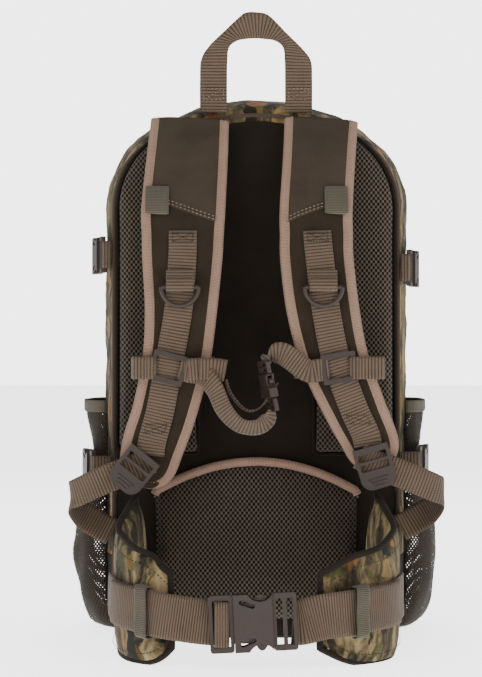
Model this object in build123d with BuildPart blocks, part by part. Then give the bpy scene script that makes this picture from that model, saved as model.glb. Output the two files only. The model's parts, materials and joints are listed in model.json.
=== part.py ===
"""A hunting backpack: arched bag with a fold-down front panel, padded harness and hip belt.

Millimetres, +Z up. The origin is the centre of the flat base, on the surface it stands on. The
harness faces -Y, the front pocket faces +Y, and +X is the wearer's left when the pack is worn.
"""

from build123d import *
import math
import os

# --- driving dimensions ---------------------------------------------------------------------
bag_width = 286.0
bag_height = 500.0
rear_depth = 130.0  # back panel to the main zip
lid_depth = 35.0  # main zip to the front face
pocket_depth = 26.0
boot_height = 75.0  # the fixed lower part that the front panel folds down from
crown_radius = 190.0
shoulder_radius = 95.0
base_radius = 40.0
wall = 3.0  # padded fabric
back_inset = 11.0  # the back face is this much narrower all round than the belly
seam_inset = 4.0
front_inset = 17.0
zip_gap = 0.8

board_thickness = 6.0
frame_sheet_thickness = 1.5
pad_thickness = 12.0
pad_rim = 1.5
channel_width = 104.0
lumbar_width = 190.0
lumbar_height = 150.0
lumbar_thickness = 16.0

webbing = 1.6  # thickness of all straps
strap_webbing_width = 25.0
sternum_webbing_width = 20.0
belt_webbing_width = 38.0
strap_thickness = 13.0
wing_thickness = 14.0
handle_width = 25.0
handle_rise = 73.0
handle_gap = 53.0

clearance = 0.4
ring_wire = 4.0
buckle_wall = 1.6
belt_tongue_play = 1.9  # room beside the tongue, so that the belt can swing open
small_tongue_play = 0.5

# --- derived places -------------------------------------------------------------------------
back_y = -95.0
belly_y = back_y + rear_depth / 2
seam_y = back_y + rear_depth
front_y = seam_y + lid_depth
board_y = back_y - board_thickness
pad_y = board_y - pad_thickness
half_width = bag_width / 2
back_half = half_width - back_inset
crown_z = bag_height - crown_radius
crown_rise = math.sqrt((crown_radius - shoulder_radius) ** 2 - (half_width - shoulder_radius) ** 2)
shoulder_z = crown_z + crown_rise
crown_lean = math.degrees(math.atan2(half_width - shoulder_radius, crown_rise))
strap_top_z = bag_height - 28.0
pocket_top_z = 215.0
LEFT, RIGHT = -1, 1
SIDES = {"left": LEFT, "right": RIGHT}
UP = Vector(0, 0, 1)
ACROSS = Vector(1, 0, 0)
TOWARDS = Vector(0, -1, 0)

# Harness stations: drop below the strap's top seam, distance of its middle from the back board,
# sideways place, strap width, and sideways place of the webbing on it.
STRAPS = {
    "left": [
        (0, 7.2, -60.4, 70, None),
        (36, 25, -62.4, 72, None),
        (83, 40, -65.5, 74, None),
        (105, 44, -65.8, 72, -65.6),
        (128, 48, -66.1, 70, -65.9),
        (173, 52, -67.2, 63, -69.3),
        (217, 52, -71.3, 59, -77.0),
        (262, 48, -81.7, 56, -85.5),
        (296, 43, -93.0, 54, -94.0),
        (331, 39, -101.0, 42, None),
    ],
    "right": [
        (0, 7.2, 59.5, 66, None),
        (36, 25, 56.7, 64, None),
        (83, 40, 53.4, 64, None),
        (105, 44, 53.5, 64, 54.1),
        (128, 48, 53.8, 64, 56.2),
        (173, 52, 59.2, 63, 61.5),
        (217, 52, 69.5, 59, 70.5),
        (262, 48, 88.5, 53, 87.0),
        (288, 43, 101.0, 49, 98.5),
        (314, 40, 110.0, 40, None),
    ],
}
# Hip wings in plan, from the lumbar pad to the tip: place, middle height and height of the pad.
WINGS = {
    "left": [
        (-104, -108.5, 88, 96),
        (-112, -148, 72, 104),
        (-118, -188, 56, 104),
        (-108, -222, 49, 96),
        (-88, -243, 46, 88),
        (-72, -250, 46, 46),
    ],
    "right": [
        (104, -108.5, 88, 96),
        (112, -148, 72, 104),
        (117, -188, 56, 104),
        (106, -221, 48, 96),
        (80, -243, 46, 88),
        (52, -252, 46, 46),
    ],
}
# Side compression straps: height of each, and how far out its forward webbing lies.
HEIGHTS = {
    "upper_left": bag_height - 149.0,
    "upper_right": bag_height - 161.0,
    "lower_left": 154.0,
    "lower_right": 158.0,
}
RESTS = {"upper": half_width + 2.0, "lower": half_width + 11.0}
belt_y = -266.0
belt_z = 38.0
belt_mouth_x = -20.0
sternum_z = strap_top_z - 224.0
sternum_travel = 10.0


# --- helpers --------------------------------------------------------------------------------
def save(piece, name):
    """Labels a finished piece and writes it as its own STEP file."""
    piece.part.label = name
    export_step(piece.part, f"parts/{name}.step")


def upright(y):
    """The XZ plane at depth y, seen from the harness side."""
    return Plane.XZ.offset(-y)


def bag_outline(inset, floor):
    """The arched outline of the bag, as lines that make_face closes."""
    half = half_width - inset
    shoulder = shoulder_radius - inset
    corner = base_radius - floor
    side = half_width - shoulder_radius
    with BuildLine() as outline:
        CenterArc((0, crown_z), crown_radius - inset, 90 - crown_lean, 2 * crown_lean)
        CenterArc((-side, shoulder_z), shoulder, 90 + crown_lean, 90 - crown_lean)
        Line((-half, shoulder_z), (-half, floor + corner))
        CenterArc((-half + corner, floor + corner), corner, 180, 90)
        Line((-half + corner, floor), (half - corner, floor))
        CenterArc((half - corner, floor + corner), corner, 270, 90)
        Line((half, floor + corner), (half, shoulder_z))
        CenterArc((side, shoulder_z), shoulder, 0, 90 - crown_lean)
    return outline.line


def bag_shell():
    """The whole bag skin, open only at the back, before it is cut into its panels."""
    sections = ((back_y, back_inset), (belly_y, 0), (seam_y, seam_inset), (front_y, front_inset))
    with BuildPart() as shell:
        for y, inset in sections:
            with BuildSketch(upright(y)):
                add(bag_outline(inset, 0))
                make_face()
        loft(ruled=True)
        for y, inset in sections:
            inner_y = y - wall if y == front_y else y
            with BuildSketch(upright(inner_y)):
                add(bag_outline(inset + wall, wall))
                make_face()
        loft(ruled=True, mode=Mode.SUBTRACT)
    return shell.part


def directions(points, level=False):
    """The direction of travel at each point of a path, or only its level part."""
    last = len(points) - 1
    steps = [points[min(i + 1, last)] - points[max(i - 1, 0)] for i in range(last + 1)]
    return [Vector(s.X, s.Y, 0 if level else s.Z).normalized() for s in steps]


def ribbon(points, widths, thickness, across, level=False):
    """A flat band through the points. across is the way its width lies, one hint or one a point."""
    hints = across if isinstance(across, list) else [across] * len(points)
    sizes = widths if isinstance(widths, list) else [widths] * len(points)
    with BuildPart() as band:
        for point, along, hint, width in zip(points, directions(points, level), hints, sizes):
            flat = (hint - along * hint.dot(along)).normalized()
            with BuildSketch(Plane(origin=point, x_dir=flat, z_dir=along)):
                Rectangle(width, thickness)
        loft(ruled=True)
    return band


def strap_point(station, lift):
    """The place on a strap station, lift in front of the strap's middle, along the strap."""
    drop, stand_off, x = station[0], station[1], station[2]
    return Vector(x, board_y - stand_off - lift, strap_top_z - drop)


def webbing_point(station, lift):
    """The same for the webbing that runs down the strap."""
    return Vector(station[4], board_y - station[1] - lift, strap_top_z - station[0])


def strap_at(side, z):
    """The strap at a height: sideways place, stand-off, width, webbing place and sideways lean."""
    drop = strap_top_z - z
    stations = STRAPS[side]
    below = next(i for i, s in enumerate(stations) if s[0] > drop)
    high, low = stations[below - 1], stations[below]
    share = (drop - high[0]) / (low[0] - high[0])
    mixed = [a + (b - a) * share for a, b in zip(high[1:], low[1:])]
    lean = abs(low[2] - high[2]) / (low[0] - high[0])
    return mixed[1], mixed[0], mixed[2], mixed[3], lean


def wing_points(side):
    """The middle line of a hip wing."""
    return [Vector(x, y, z) for x, y, z, height in WINGS[side]]


def outside_of_wing(side, index, lift):
    """A place in front of the wing's outer face, at one of its stations."""
    points = wing_points(side)
    along = directions(points, True)[index]
    outward = Vector(along.Y, -along.X, 0).normalized() * -SIDES[side]
    return points[index] + outward * (wing_thickness / 2 + lift)


def bar_loop(plane, bar, width, tail):
    """Webbing round a bar that lies along the plane's Y, with a tail along its X."""
    inner = bar / 2 + clearance
    with BuildPart() as loop:
        with BuildSketch(Plane(plane.origin, x_dir=plane.x_dir, z_dir=plane.y_dir)):
            Circle(inner + webbing)
            with Locations((tail / 2, 0)):
                Rectangle(tail, 2 * (inner + webbing))
            with Locations((0, 0)):
                Circle(inner, mode=Mode.SUBTRACT)
            with Locations((tail / 2, 0)):
                Rectangle(tail + 1.0, 2 * inner, mode=Mode.SUBTRACT)
        extrude(amount=width / 2, both=True)
    return loop


# --- side-release buckle --------------------------------------------------------------------
class Buckle:
    """Sizes of a side-release buckle. The tongue goes in along +X, and the mouth is at x = 0."""

    def __init__(self, plane, webbing_width, play):
        self.plane = plane
        self.webbing_width = webbing_width
        self.outer = webbing_width * 1.1 + 6.0
        self.body = 8.0 + 0.65 * webbing_width
        self.frame = 3.0 + 0.45 * webbing_width
        self.thick = 4.0 + 0.17 * webbing_width
        self.frame_thick = 0.5 * self.thick
        self.rim = 1.5 + 0.04 * webbing_width
        self.bar = 1.2 + 0.06 * webbing_width
        self.tongue = self.thick - 2 * buckle_wall - 2 * play
        self.notch = 0.13 * self.outer
        self.head_x = 0.7 * self.body
        self.arm_y = 0.31 * self.outer
        self.arm_width = 0.08 * self.outer
        self.arm_root_x = 0.05 * self.body

    def at(self, x, y=0.0, z=0.0):
        """A place in the buckle's own frame, as a world point."""
        return self.plane.from_local_coords(Vector(x, y, z))

    def bar_x(self, female):
        """Where the bar's middle is along the buckle."""
        return self.body + self.frame / 2 if female else -self.frame / 2

    def bar_plane(self, female):
        """A plane on the bar: Y along the bar, X away from the buckle's middle."""
        away = self.plane.x_dir * (1 if female else -1)
        return Plane(self.at(self.bar_x(female)), x_dir=away, z_dir=away.cross(self.plane.y_dir))

    def frame_part(self, start):
        """The webbing frame with its bar, starting at x = start."""
        slot = (self.frame - 2 * self.rim - self.bar) / 2
        with BuildPart() as frame:
            with BuildSketch(self.plane):
                with Locations((start + self.frame / 2, 0)):
                    RectangleRounded(self.frame, self.outer, self.rim * 0.9)
                for side in (-1, 1):
                    with Locations((start + self.frame / 2 + side * (self.bar + slot) / 2, 0)):
                        Rectangle(slot, self.webbing_width + 2 * clearance, mode=Mode.SUBTRACT)
            extrude(amount=self.frame_thick / 2, both=True)
        return frame

    def arm_part(self, side):
        """One spring arm with its thumb button, on the +Y or -Y side."""
        reach = self.outer / 2 - 0.6 - self.arm_y
        with BuildPart() as arm:
            with BuildSketch(self.plane):
                with Locations((self.head_x, side * self.arm_y)):
                    Ellipse(0.16 * self.body, reach)
                with Locations((self.head_x, side * (self.arm_y - reach))):
                    Rectangle(0.5 * self.body, 2 * reach, mode=Mode.SUBTRACT)
                with Locations(((self.arm_root_x + self.head_x) / 2, side * self.arm_y)):
                    Rectangle(self.head_x - self.arm_root_x, self.arm_width)
            extrude(amount=self.tongue / 2, both=True)
        return arm


def female_half(buckle):
    """The socket of a side-release buckle, with its webbing frame."""
    inside = buckle.outer / 2 - 1.2 * buckle_wall
    with BuildPart() as piece:
        with BuildSketch(buckle.plane):
            with Locations((clearance / 2 + buckle.body / 2, 0)):
                Rectangle(buckle.body - clearance, buckle.outer)
            bite = 0.36 * buckle.body
            for side in (-1, 1):
                with Locations((buckle.head_x, side * (buckle.outer / 2 + bite - buckle.notch))):
                    Circle(bite, mode=Mode.SUBTRACT)
        extrude(amount=buckle.thick / 2, both=True)
        with BuildSketch(buckle.plane):
            with Locations((buckle.body / 2 - buckle_wall, 0)):
                Rectangle(buckle.body, 2 * inside)
        extrude(amount=buckle.thick / 2 - buckle_wall, both=True, mode=Mode.SUBTRACT)
        with BuildSketch(buckle.plane):
            for side in (-1, 1):
                with Locations((0.36 * buckle.body, side * 0.33 * buckle.outer)):
                    SlotCenterToCenter(0.3 * buckle.body, 0.08 * buckle.outer, rotation=-20 * side)
        extrude(amount=buckle.thick, both=True, mode=Mode.SUBTRACT)
        add(buckle.frame_part(buckle.body).part)
    return piece


def male_half(buckle, with_arms):
    """The plug: webbing frame and middle tongue, with its spring arms unless they are separate."""
    root_end = buckle.arm_root_x + (0.5 if with_arms else -clearance)
    with BuildPart() as piece:
        add(buckle.frame_part(-buckle.frame).part)
        with BuildSketch(buckle.plane):
            with Locations((0.45 * buckle.body - 1, 0)):
                Rectangle(0.9 * buckle.body, 0.26 * buckle.webbing_width)
            with Locations(((root_end - buckle.rim) / 2, 0)):
                Rectangle(root_end + buckle.rim, 2 * buckle.arm_y + buckle.arm_width)
        extrude(amount=buckle.tongue / 2, both=True)
        if with_arms:
            for side in (-1, 1):
                add(buckle.arm_part(side).part)
    return piece


# --- bag ------------------------------------------------------------------------------------
def build_bag():
    """The bag's panels: rear band, lower boot, fold-down front panel, back board and stiffener."""
    shell = bag_shell()
    with BuildPart() as boot:
        add(shell)
        split(bisect_by=Plane.XY.offset(boot_height), keep=Keep.BOTTOM)
    save(boot, "base_boot")

    with BuildPart() as band:
        add(shell)
        split(bisect_by=Plane.XY.offset(boot_height), keep=Keep.TOP)
        split(bisect_by=upright(seam_y - zip_gap / 2), keep=Keep.TOP)
    save(band, "main_gusset")

    with BuildPart() as front:
        add(shell)
        split(bisect_by=Plane.XY.offset(boot_height + zip_gap), keep=Keep.TOP)
        split(bisect_by=upright(seam_y + zip_gap / 2), keep=Keep.BOTTOM)
    save(front, "front_panel")

    with BuildPart() as board:
        with BuildSketch(upright(back_y)):
            add(bag_outline(back_inset, 0))
            make_face()
        extrude(amount=board_thickness)
    save(board, "back_board")

    with BuildPart() as stiffener:
        with BuildSketch(upright(back_y)):
            add(bag_outline(back_inset + 2 * wall, 2 * wall))
            make_face()
        extrude(amount=-frame_sheet_thickness)
    save(stiffener, "frame_sheet")


def build_zip():
    """The main zip: one half of the chain on the rear band, the other on the front panel."""
    chain_width = 4.5
    chain_height = 1.6
    lift = 0.6
    halves = {
        "main_zip_rear": seam_y - zip_gap / 2,
        "main_zip_front": seam_y + zip_gap / 2 + chain_width,
    }
    for name, start in halves.items():
        with BuildPart() as chain:
            with BuildSketch(upright(start)):
                add(bag_outline(seam_inset - lift - chain_height, 0))
                make_face()
            extrude(amount=chain_width)
            with BuildSketch(upright(start)):
                add(bag_outline(seam_inset - lift, 0.3))
                make_face()
            extrude(amount=chain_width, mode=Mode.SUBTRACT)
            split(bisect_by=Plane.XY.offset(boot_height + zip_gap), keep=Keep.TOP)
        save(chain, name)

    slider_length = 11.0
    slider_height = 4.0
    pull_length = 30.0
    surface = crown_radius - seam_inset + lift + chain_height + clearance
    for side, sign in SIDES.items():
        angle = math.degrees(1.15 * slider_length / 2 / surface) * sign
        turned = Plane(
            origin=(
                math.sin(math.radians(angle)) * surface,
                seam_y,
                crown_z + math.cos(math.radians(angle)) * surface,
            ),
            x_dir=(sign * math.cos(math.radians(angle)), 0, -sign * math.sin(math.radians(angle))),
            z_dir=(math.sin(math.radians(angle)), 0, math.cos(math.radians(angle))),
        )
        with BuildPart() as slider:
            with BuildSketch(turned.offset(0.2)):
                RectangleRounded(slider_length, 9.0, 2.0)
            extrude(amount=slider_height)
        save(slider, f"zip_slider_{side}")
        with BuildPart() as pull:
            with BuildSketch(turned.offset(slider_height + clearance + 0.2)):
                with Locations((pull_length / 2, 0)):
                    SlotOverall(pull_length, 7.0)
                with Locations((pull_length - 6.0, 0)):
                    Circle(1.8, mode=Mode.SUBTRACT)
            extrude(amount=2.0)
        save(pull, f"zip_pull_{side}")


def pocket_cover(width, low, high, depth, corner):
    """A pocket's hollow outer cover, sewn to the front panel all round."""
    skin = 2.0
    face = upright(front_y)
    with BuildPart() as cover:
        with BuildSketch(face):
            with Locations((0, (low + high) / 2)):
                RectangleRounded(width, high - low, corner)
        extrude(amount=-depth, taper=14)
        with BuildSketch(face):
            with Locations((0, (low + high) / 2)):
                RectangleRounded(width - 2 * skin, high - low - 2 * skin, corner - skin)
        extrude(amount=-(depth - skin), taper=14, mode=Mode.SUBTRACT)
    return cover


def build_front_pocket():
    """The stuffed front pocket on the fold-down panel, with its own straight zip."""
    pocket_width = 0.66 * bag_width
    pocket_low = boot_height + 16.0
    pocket_high = 0.62 * bag_height
    save(pocket_cover(pocket_width, pocket_low, pocket_high, pocket_depth, 34.0), "front_pocket")

    small_low = pocket_high + 12.0
    small_high = pocket_high + 0.2 * bag_height
    small_width = 0.52 * bag_width
    cover = pocket_cover(small_width, small_low, small_high, 0.6 * pocket_depth, 26.0)
    save(cover, "upper_pocket")

    zip_z = pocket_high - 44.0
    zip_half = 0.27 * bag_width
    face = upright(front_y + pocket_depth)
    with BuildPart() as chain:
        with BuildSketch(face):
            with Locations((0, zip_z)):
                Rectangle(2 * zip_half, 7.0)
        extrude(amount=-1.6)
    save(chain, "pocket_zip")
    slider_y = front_y + pocket_depth + 1.6 + clearance
    with BuildPart() as slider:
        with BuildSketch(upright(slider_y)):
            with Locations((-zip_half + 8.0, zip_z)):
                RectangleRounded(11.0, 9.0, 2.0)
        extrude(amount=-4.0)
    save(slider, "pocket_slider")
    with BuildPart() as pull:
        with BuildSketch(upright(slider_y + 4.0 + clearance)):
            with Locations((-zip_half + 8.0, zip_z - 13.0)):
                SlotOverall(30.0, 7.0, rotation=90)
            with Locations((-zip_half + 8.0, zip_z - 22.0)):
                Circle(1.8, mode=Mode.SUBTRACT)
        extrude(amount=-2.0)
    save(pull, "pocket_pull")


def build_back_pads():
    """Two mesh-covered pads beside a central air channel, and the lumbar pad below them."""
    pad_low = 168.0
    pad_high = strap_top_z - 36.0
    for side, sign in SIDES.items():
        with BuildPart() as pad:
            with BuildSketch(upright(board_y)):
                add(bag_outline(back_inset + pad_rim, pad_rim))
                make_face()
                with Locations((0, pad_low - bag_height / 2)):
                    Rectangle(bag_width, bag_height, mode=Mode.SUBTRACT)
                with Locations((-sign * half_width + sign * channel_width / 2, bag_height / 2)):
                    Rectangle(bag_width, 2 * bag_height, mode=Mode.SUBTRACT)
                with Locations((0, pad_high + bag_height / 2)):
                    Rectangle(bag_width, bag_height, mode=Mode.SUBTRACT)
            extrude(amount=pad_thickness, taper=8)
        save(pad, f"back_pad_{side}")

    lumbar_low = 14.0
    spring = lumbar_low + lumbar_height * 0.8
    with BuildPart() as lumbar:
        with BuildSketch(upright(board_y)):
            with BuildLine():
                half = lumbar_width / 2
                Polyline((-half, spring), (-half, lumbar_low), (half, lumbar_low), (half, spring))
                ThreePointArc((half, spring), (0, lumbar_low + lumbar_height), (-half, spring))
            make_face()
        extrude(amount=lumbar_thickness, taper=10)
    save(lumbar, "lumbar_pad")


def build_handle():
    """The webbing haul loop, a flat arch of webbing sewn into the top seam."""
    low = bag_height - 20.0
    top = bag_height + handle_rise
    inner = handle_gap / 2
    outer = inner + handle_width
    with BuildPart() as handle:
        with BuildSketch(upright(board_y)):
            with BuildLine():
                Line((-outer, low), (-outer, top - 44.0))
                ThreePointArc((-outer, top - 44.0), (-0.72 * outer, top - 19.0), (0, top))
                ThreePointArc((0, top), (0.72 * outer, top - 19.0), (outer, top - 44.0))
                Polyline((outer, top - 44.0), (outer, low), (inner, low), (inner, top - handle_width))
                Line((inner, top - handle_width), (-inner, top - handle_width))
                Polyline((-inner, top - handle_width), (-inner, low), (-outer, low))
            make_face()
        extrude(amount=webbing)
    save(handle, "haul_handle")


def build_side_pockets():
    """An open-topped mesh pocket on each side, pulled in where the lower strap crosses it."""
    levels = ((6, 162), (85, 174), (150, 155), (pocket_top_z, 163))
    rear, ahead = back_y + 16.0, seam_y - 10.0
    skin = 2.0
    seat = half_width - 4.0
    for side, sign in SIDES.items():
        with BuildPart() as pocket:
            for cut in (0.0, skin):
                for z, bulge in levels:
                    level = z + skin if cut and z == levels[0][0] else z
                    reach = half_width + (bulge - 143.0) - cut
                    with BuildSketch(Plane.XY.offset(level)):
                        with BuildLine():
                            start = (sign * seat, rear + cut)
                            end = (sign * seat, ahead - cut)
                            ThreePointArc(start, (sign * reach, (rear + ahead) / 2), end)
                            Line(end, start)
                        make_face()
                loft(ruled=True, mode=Mode.SUBTRACT if cut else Mode.ADD)
            with BuildSketch(Plane.XY):
                with Locations((0, (rear + ahead) / 2)):
                    Rectangle(2 * (half_width + 0.2), 2 * rear_depth)
            extrude(amount=bag_height, mode=Mode.SUBTRACT)
        save(pocket, f"side_pocket_{side}")


# --- harness --------------------------------------------------------------------------------
def build_straps():
    """Shoulder straps, the webbing down their fronts, and the elastic accessory tabs."""
    tabs = []
    for side, sign in SIDES.items():
        stations = STRAPS[side]
        points = [strap_point(s, 0) for s in stations]
        widths = [s[3] for s in stations]
        save(ribbon(points, widths, strap_thickness, ACROSS), f"shoulder_strap_{side}")

        face = strap_thickness / 2 + webbing / 2 + clearance
        carried = [s for s in stations if s[4] is not None]
        points = [webbing_point(s, face) for s in carried]
        strip = ribbon(points, strap_webbing_width, webbing, ACROSS)
        save(strip, f"strap_webbing_{side}")

        lift = strap_thickness / 2 + webbing + 2 * clearance
        low, high = strap_point(stations[2], lift), strap_point(stations[1], lift)
        low = low + ACROSS * sign * (stations[2][3] / 2 - 13.0)
        rise = Vector(0, high.Y - low.Y, high.Z - low.Z).normalized()
        tabs.append(ribbon([low, low + rise * 20.0], 21.0, 2 * webbing, ACROSS))
    with BuildPart() as pair:
        for tab in tabs:
            add(tab.part)
    save(pair, "accessory_tabs")


def ring_place(side):
    """The D-ring's bar: its middle, and the way the ring hangs."""
    above, below = STRAPS[side][4], STRAPS[side][5]
    share = 0.55
    lift = strap_thickness / 2 + 2 * webbing + 3 * clearance + ring_wire / 2
    middle = webbing_point(above, lift) * (1 - share) + webbing_point(below, lift) * share
    hang = (webbing_point(below, lift) - webbing_point(above, lift)).normalized()
    return middle, Vector(0, hang.Y, hang.Z).normalized()


def build_rings():
    """The D-rings, each hung on a short webbing loop that is sewn to the strap's webbing."""
    inner_half = strap_webbing_width / 2 + 2.0
    loops = []
    for side in SIDES:
        middle, hang = ring_place(side)
        face_way = ACROSS.cross(hang)
        radius = inner_half + ring_wire / 2
        with BuildPart() as ring:
            with BuildSketch(Plane(middle + ACROSS * radius, x_dir=ACROSS, z_dir=hang)):
                Circle(ring_wire / 2)
            revolve(axis=Axis(middle, face_way), revolution_arc=180)
            with BuildSketch(Plane(middle - ACROSS * radius, x_dir=hang, z_dir=ACROSS)):
                Circle(ring_wire / 2)
            extrude(amount=2 * radius)
        save(ring, f"d_ring_{side}")
        bar = Plane(middle, x_dir=hang * -1, z_dir=face_way)
        loops.append(bar_loop(bar, ring_wire, strap_webbing_width, 16.0))
    with BuildPart() as pair:
        for loop in loops:
            add(loop.part)
    save(pair, "d_ring_loops")


class Ladderlock:
    """Place and sizes of a shoulder-strap adjuster: X runs from its hinge bar to the thumb tab."""

    length = 38.0
    thick = 4.0
    bar = 3.4

    def __init__(self, side):
        lean = math.radians({"left": -39, "right": 16}[side])
        end = STRAPS[side][-2]
        start = webbing_point(end, strap_thickness / 2 + 2 * webbing + clearance + self.thick / 2)
        along = Vector(math.sin(lean), 0, -math.cos(lean))
        self.width = strap_webbing_width + 7.0
        self.plane = Plane(start + along * 8.0, x_dir=along, z_dir=TOWARDS)


def build_ladderlocks():
    """The two tilting ladder-lock adjusters at the lower ends of the shoulder straps."""
    slot_width = strap_webbing_width + 2 * clearance
    for side in SIDES:
        lock = Ladderlock(side)
        with BuildPart() as body:
            with BuildSketch(lock.plane):
                with Locations((lock.length / 2 - lock.bar / 2, 0)):
                    Rectangle(lock.length, lock.width)
                with Locations((7.0, 0), (16.0, 0)):
                    Rectangle(6.4, slot_width, mode=Mode.SUBTRACT)
            extrude(amount=lock.thick / 2, both=True)
            corners = body.edges().filter_by(Axis(lock.plane.origin, lock.plane.z_dir))
            fillet(corners.sort_by(Axis(lock.plane.origin, lock.plane.x_dir))[-2:], 10.0)
        save(body, f"ladder_lock_{side}")

    for side, sign in SIDES.items():
        lock = Ladderlock(side)
        behind = lock.thick / 2 + webbing / 2 + 2 * clearance
        start = lock.plane.from_local_coords(Vector(14.0, 0, -behind))
        anchor_x = sign * (back_half + 12.0)
        reach = half_width + 24.0
        points = [
            start,
            Vector(sign * (abs(start.X) + 26.0), start.Y, start.Z - 10.0),
            Vector(sign * (reach - 8.0), start.Y + 8.0, start.Z - 22.0),
            Vector(sign * reach, start.Y + 20.0, start.Z - 28.0),
            Vector(sign * (reach - 9.0), board_y - 14.0, start.Z - 44.0),
            Vector(anchor_x + sign * 6.0, board_y - 4.0, start.Z - 56.0),
        ]
        save(ribbon(points, strap_webbing_width, webbing, UP), f"lower_webbing_{side}")


def build_compression():
    """Two side compression straps a side: rear stub, side-release buckle and forward webbing."""
    with BuildPart() as sockets:
        for level in RESTS:
            for side in SIDES:
                add(female_half(side_buckle(level, side)).part)
    save(sockets, "compression_sockets")
    for level in RESTS:
        for side in SIDES:
            save(male_half(side_buckle(level, side), True), f"compression_plug_{level}_{side}")
    for side, sign in SIDES.items():
        with BuildPart() as webs:
            for level, rest in RESTS.items():
                z = HEIGHTS[f"{level}_{side}"]
                buckle = side_buckle(level, side)
                rear = buckle.at(buckle.body + buckle.frame + 1.0)
                ahead = buckle.at(-buckle.frame - 1.0)
                seam = Vector(sign * (back_half + 0.4), board_y - webbing, z)
                turn = Vector(sign * (abs(rear.X) - 3.0), board_y - webbing - 1.0, z)
                end = Vector(sign * (half_width - 1.0), seam_y - 6.0, z)
                bend = Vector(sign * (rest + 3.0), (ahead.Y + end.Y) / 2 + 7.0, z)
                add(ribbon([seam, turn, rear], strap_webbing_width, webbing, UP).part)
                add(ribbon([ahead, bend, end], strap_webbing_width, webbing, UP).part)
        save(webs, f"compression_webbing_{side}")


def side_buckle(level, side):
    """The compression buckle on one side: its socket is behind and its plug ahead."""
    sign = SIDES[side]
    slant = Vector(-sign * 0.24, -0.97, 0).normalized()
    height = HEIGHTS[f"{level}_{side}"]
    mouth = Vector(sign * (RESTS[level] + 4.0), board_y + 36.0, height)
    return Buckle(
        Plane(mouth, x_dir=slant, z_dir=Vector(sign * 0.97, -0.24, 0)),
        strap_webbing_width,
        small_tongue_play,
    )


# --- sternum strap --------------------------------------------------------------------------
def adjuster_plane(side):
    """The sternum adjuster's frame, in front of the strap's webbing."""
    place = strap_at(side, sternum_z)
    lean = {"left": -15, "right": 8}[side]
    y = board_y - place[1] - 1.0 - strap_thickness / 2 - webbing - 2.6
    tilt = math.radians(lean)
    way = (math.cos(tilt), 0, math.sin(tilt))
    return Plane((place[3], y, sternum_z), x_dir=way, z_dir=TOWARDS)


def sternum_buckle():
    """The small chest buckle, hanging turned on edge between the straps."""
    up = Vector(-0.2, 0, 0.98)
    flat = Vector(0.25, -0.96, 0.1)
    flat = (flat - up * flat.dot(up)).normalized()
    mouth = Vector(12.0, adjuster_plane("left").origin.Y - 9.0, sternum_z - 26.0)
    return Buckle(
        Plane(mouth, x_dir=up, z_dir=up.cross(flat)), sternum_webbing_width, small_tongue_play
    )


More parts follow.
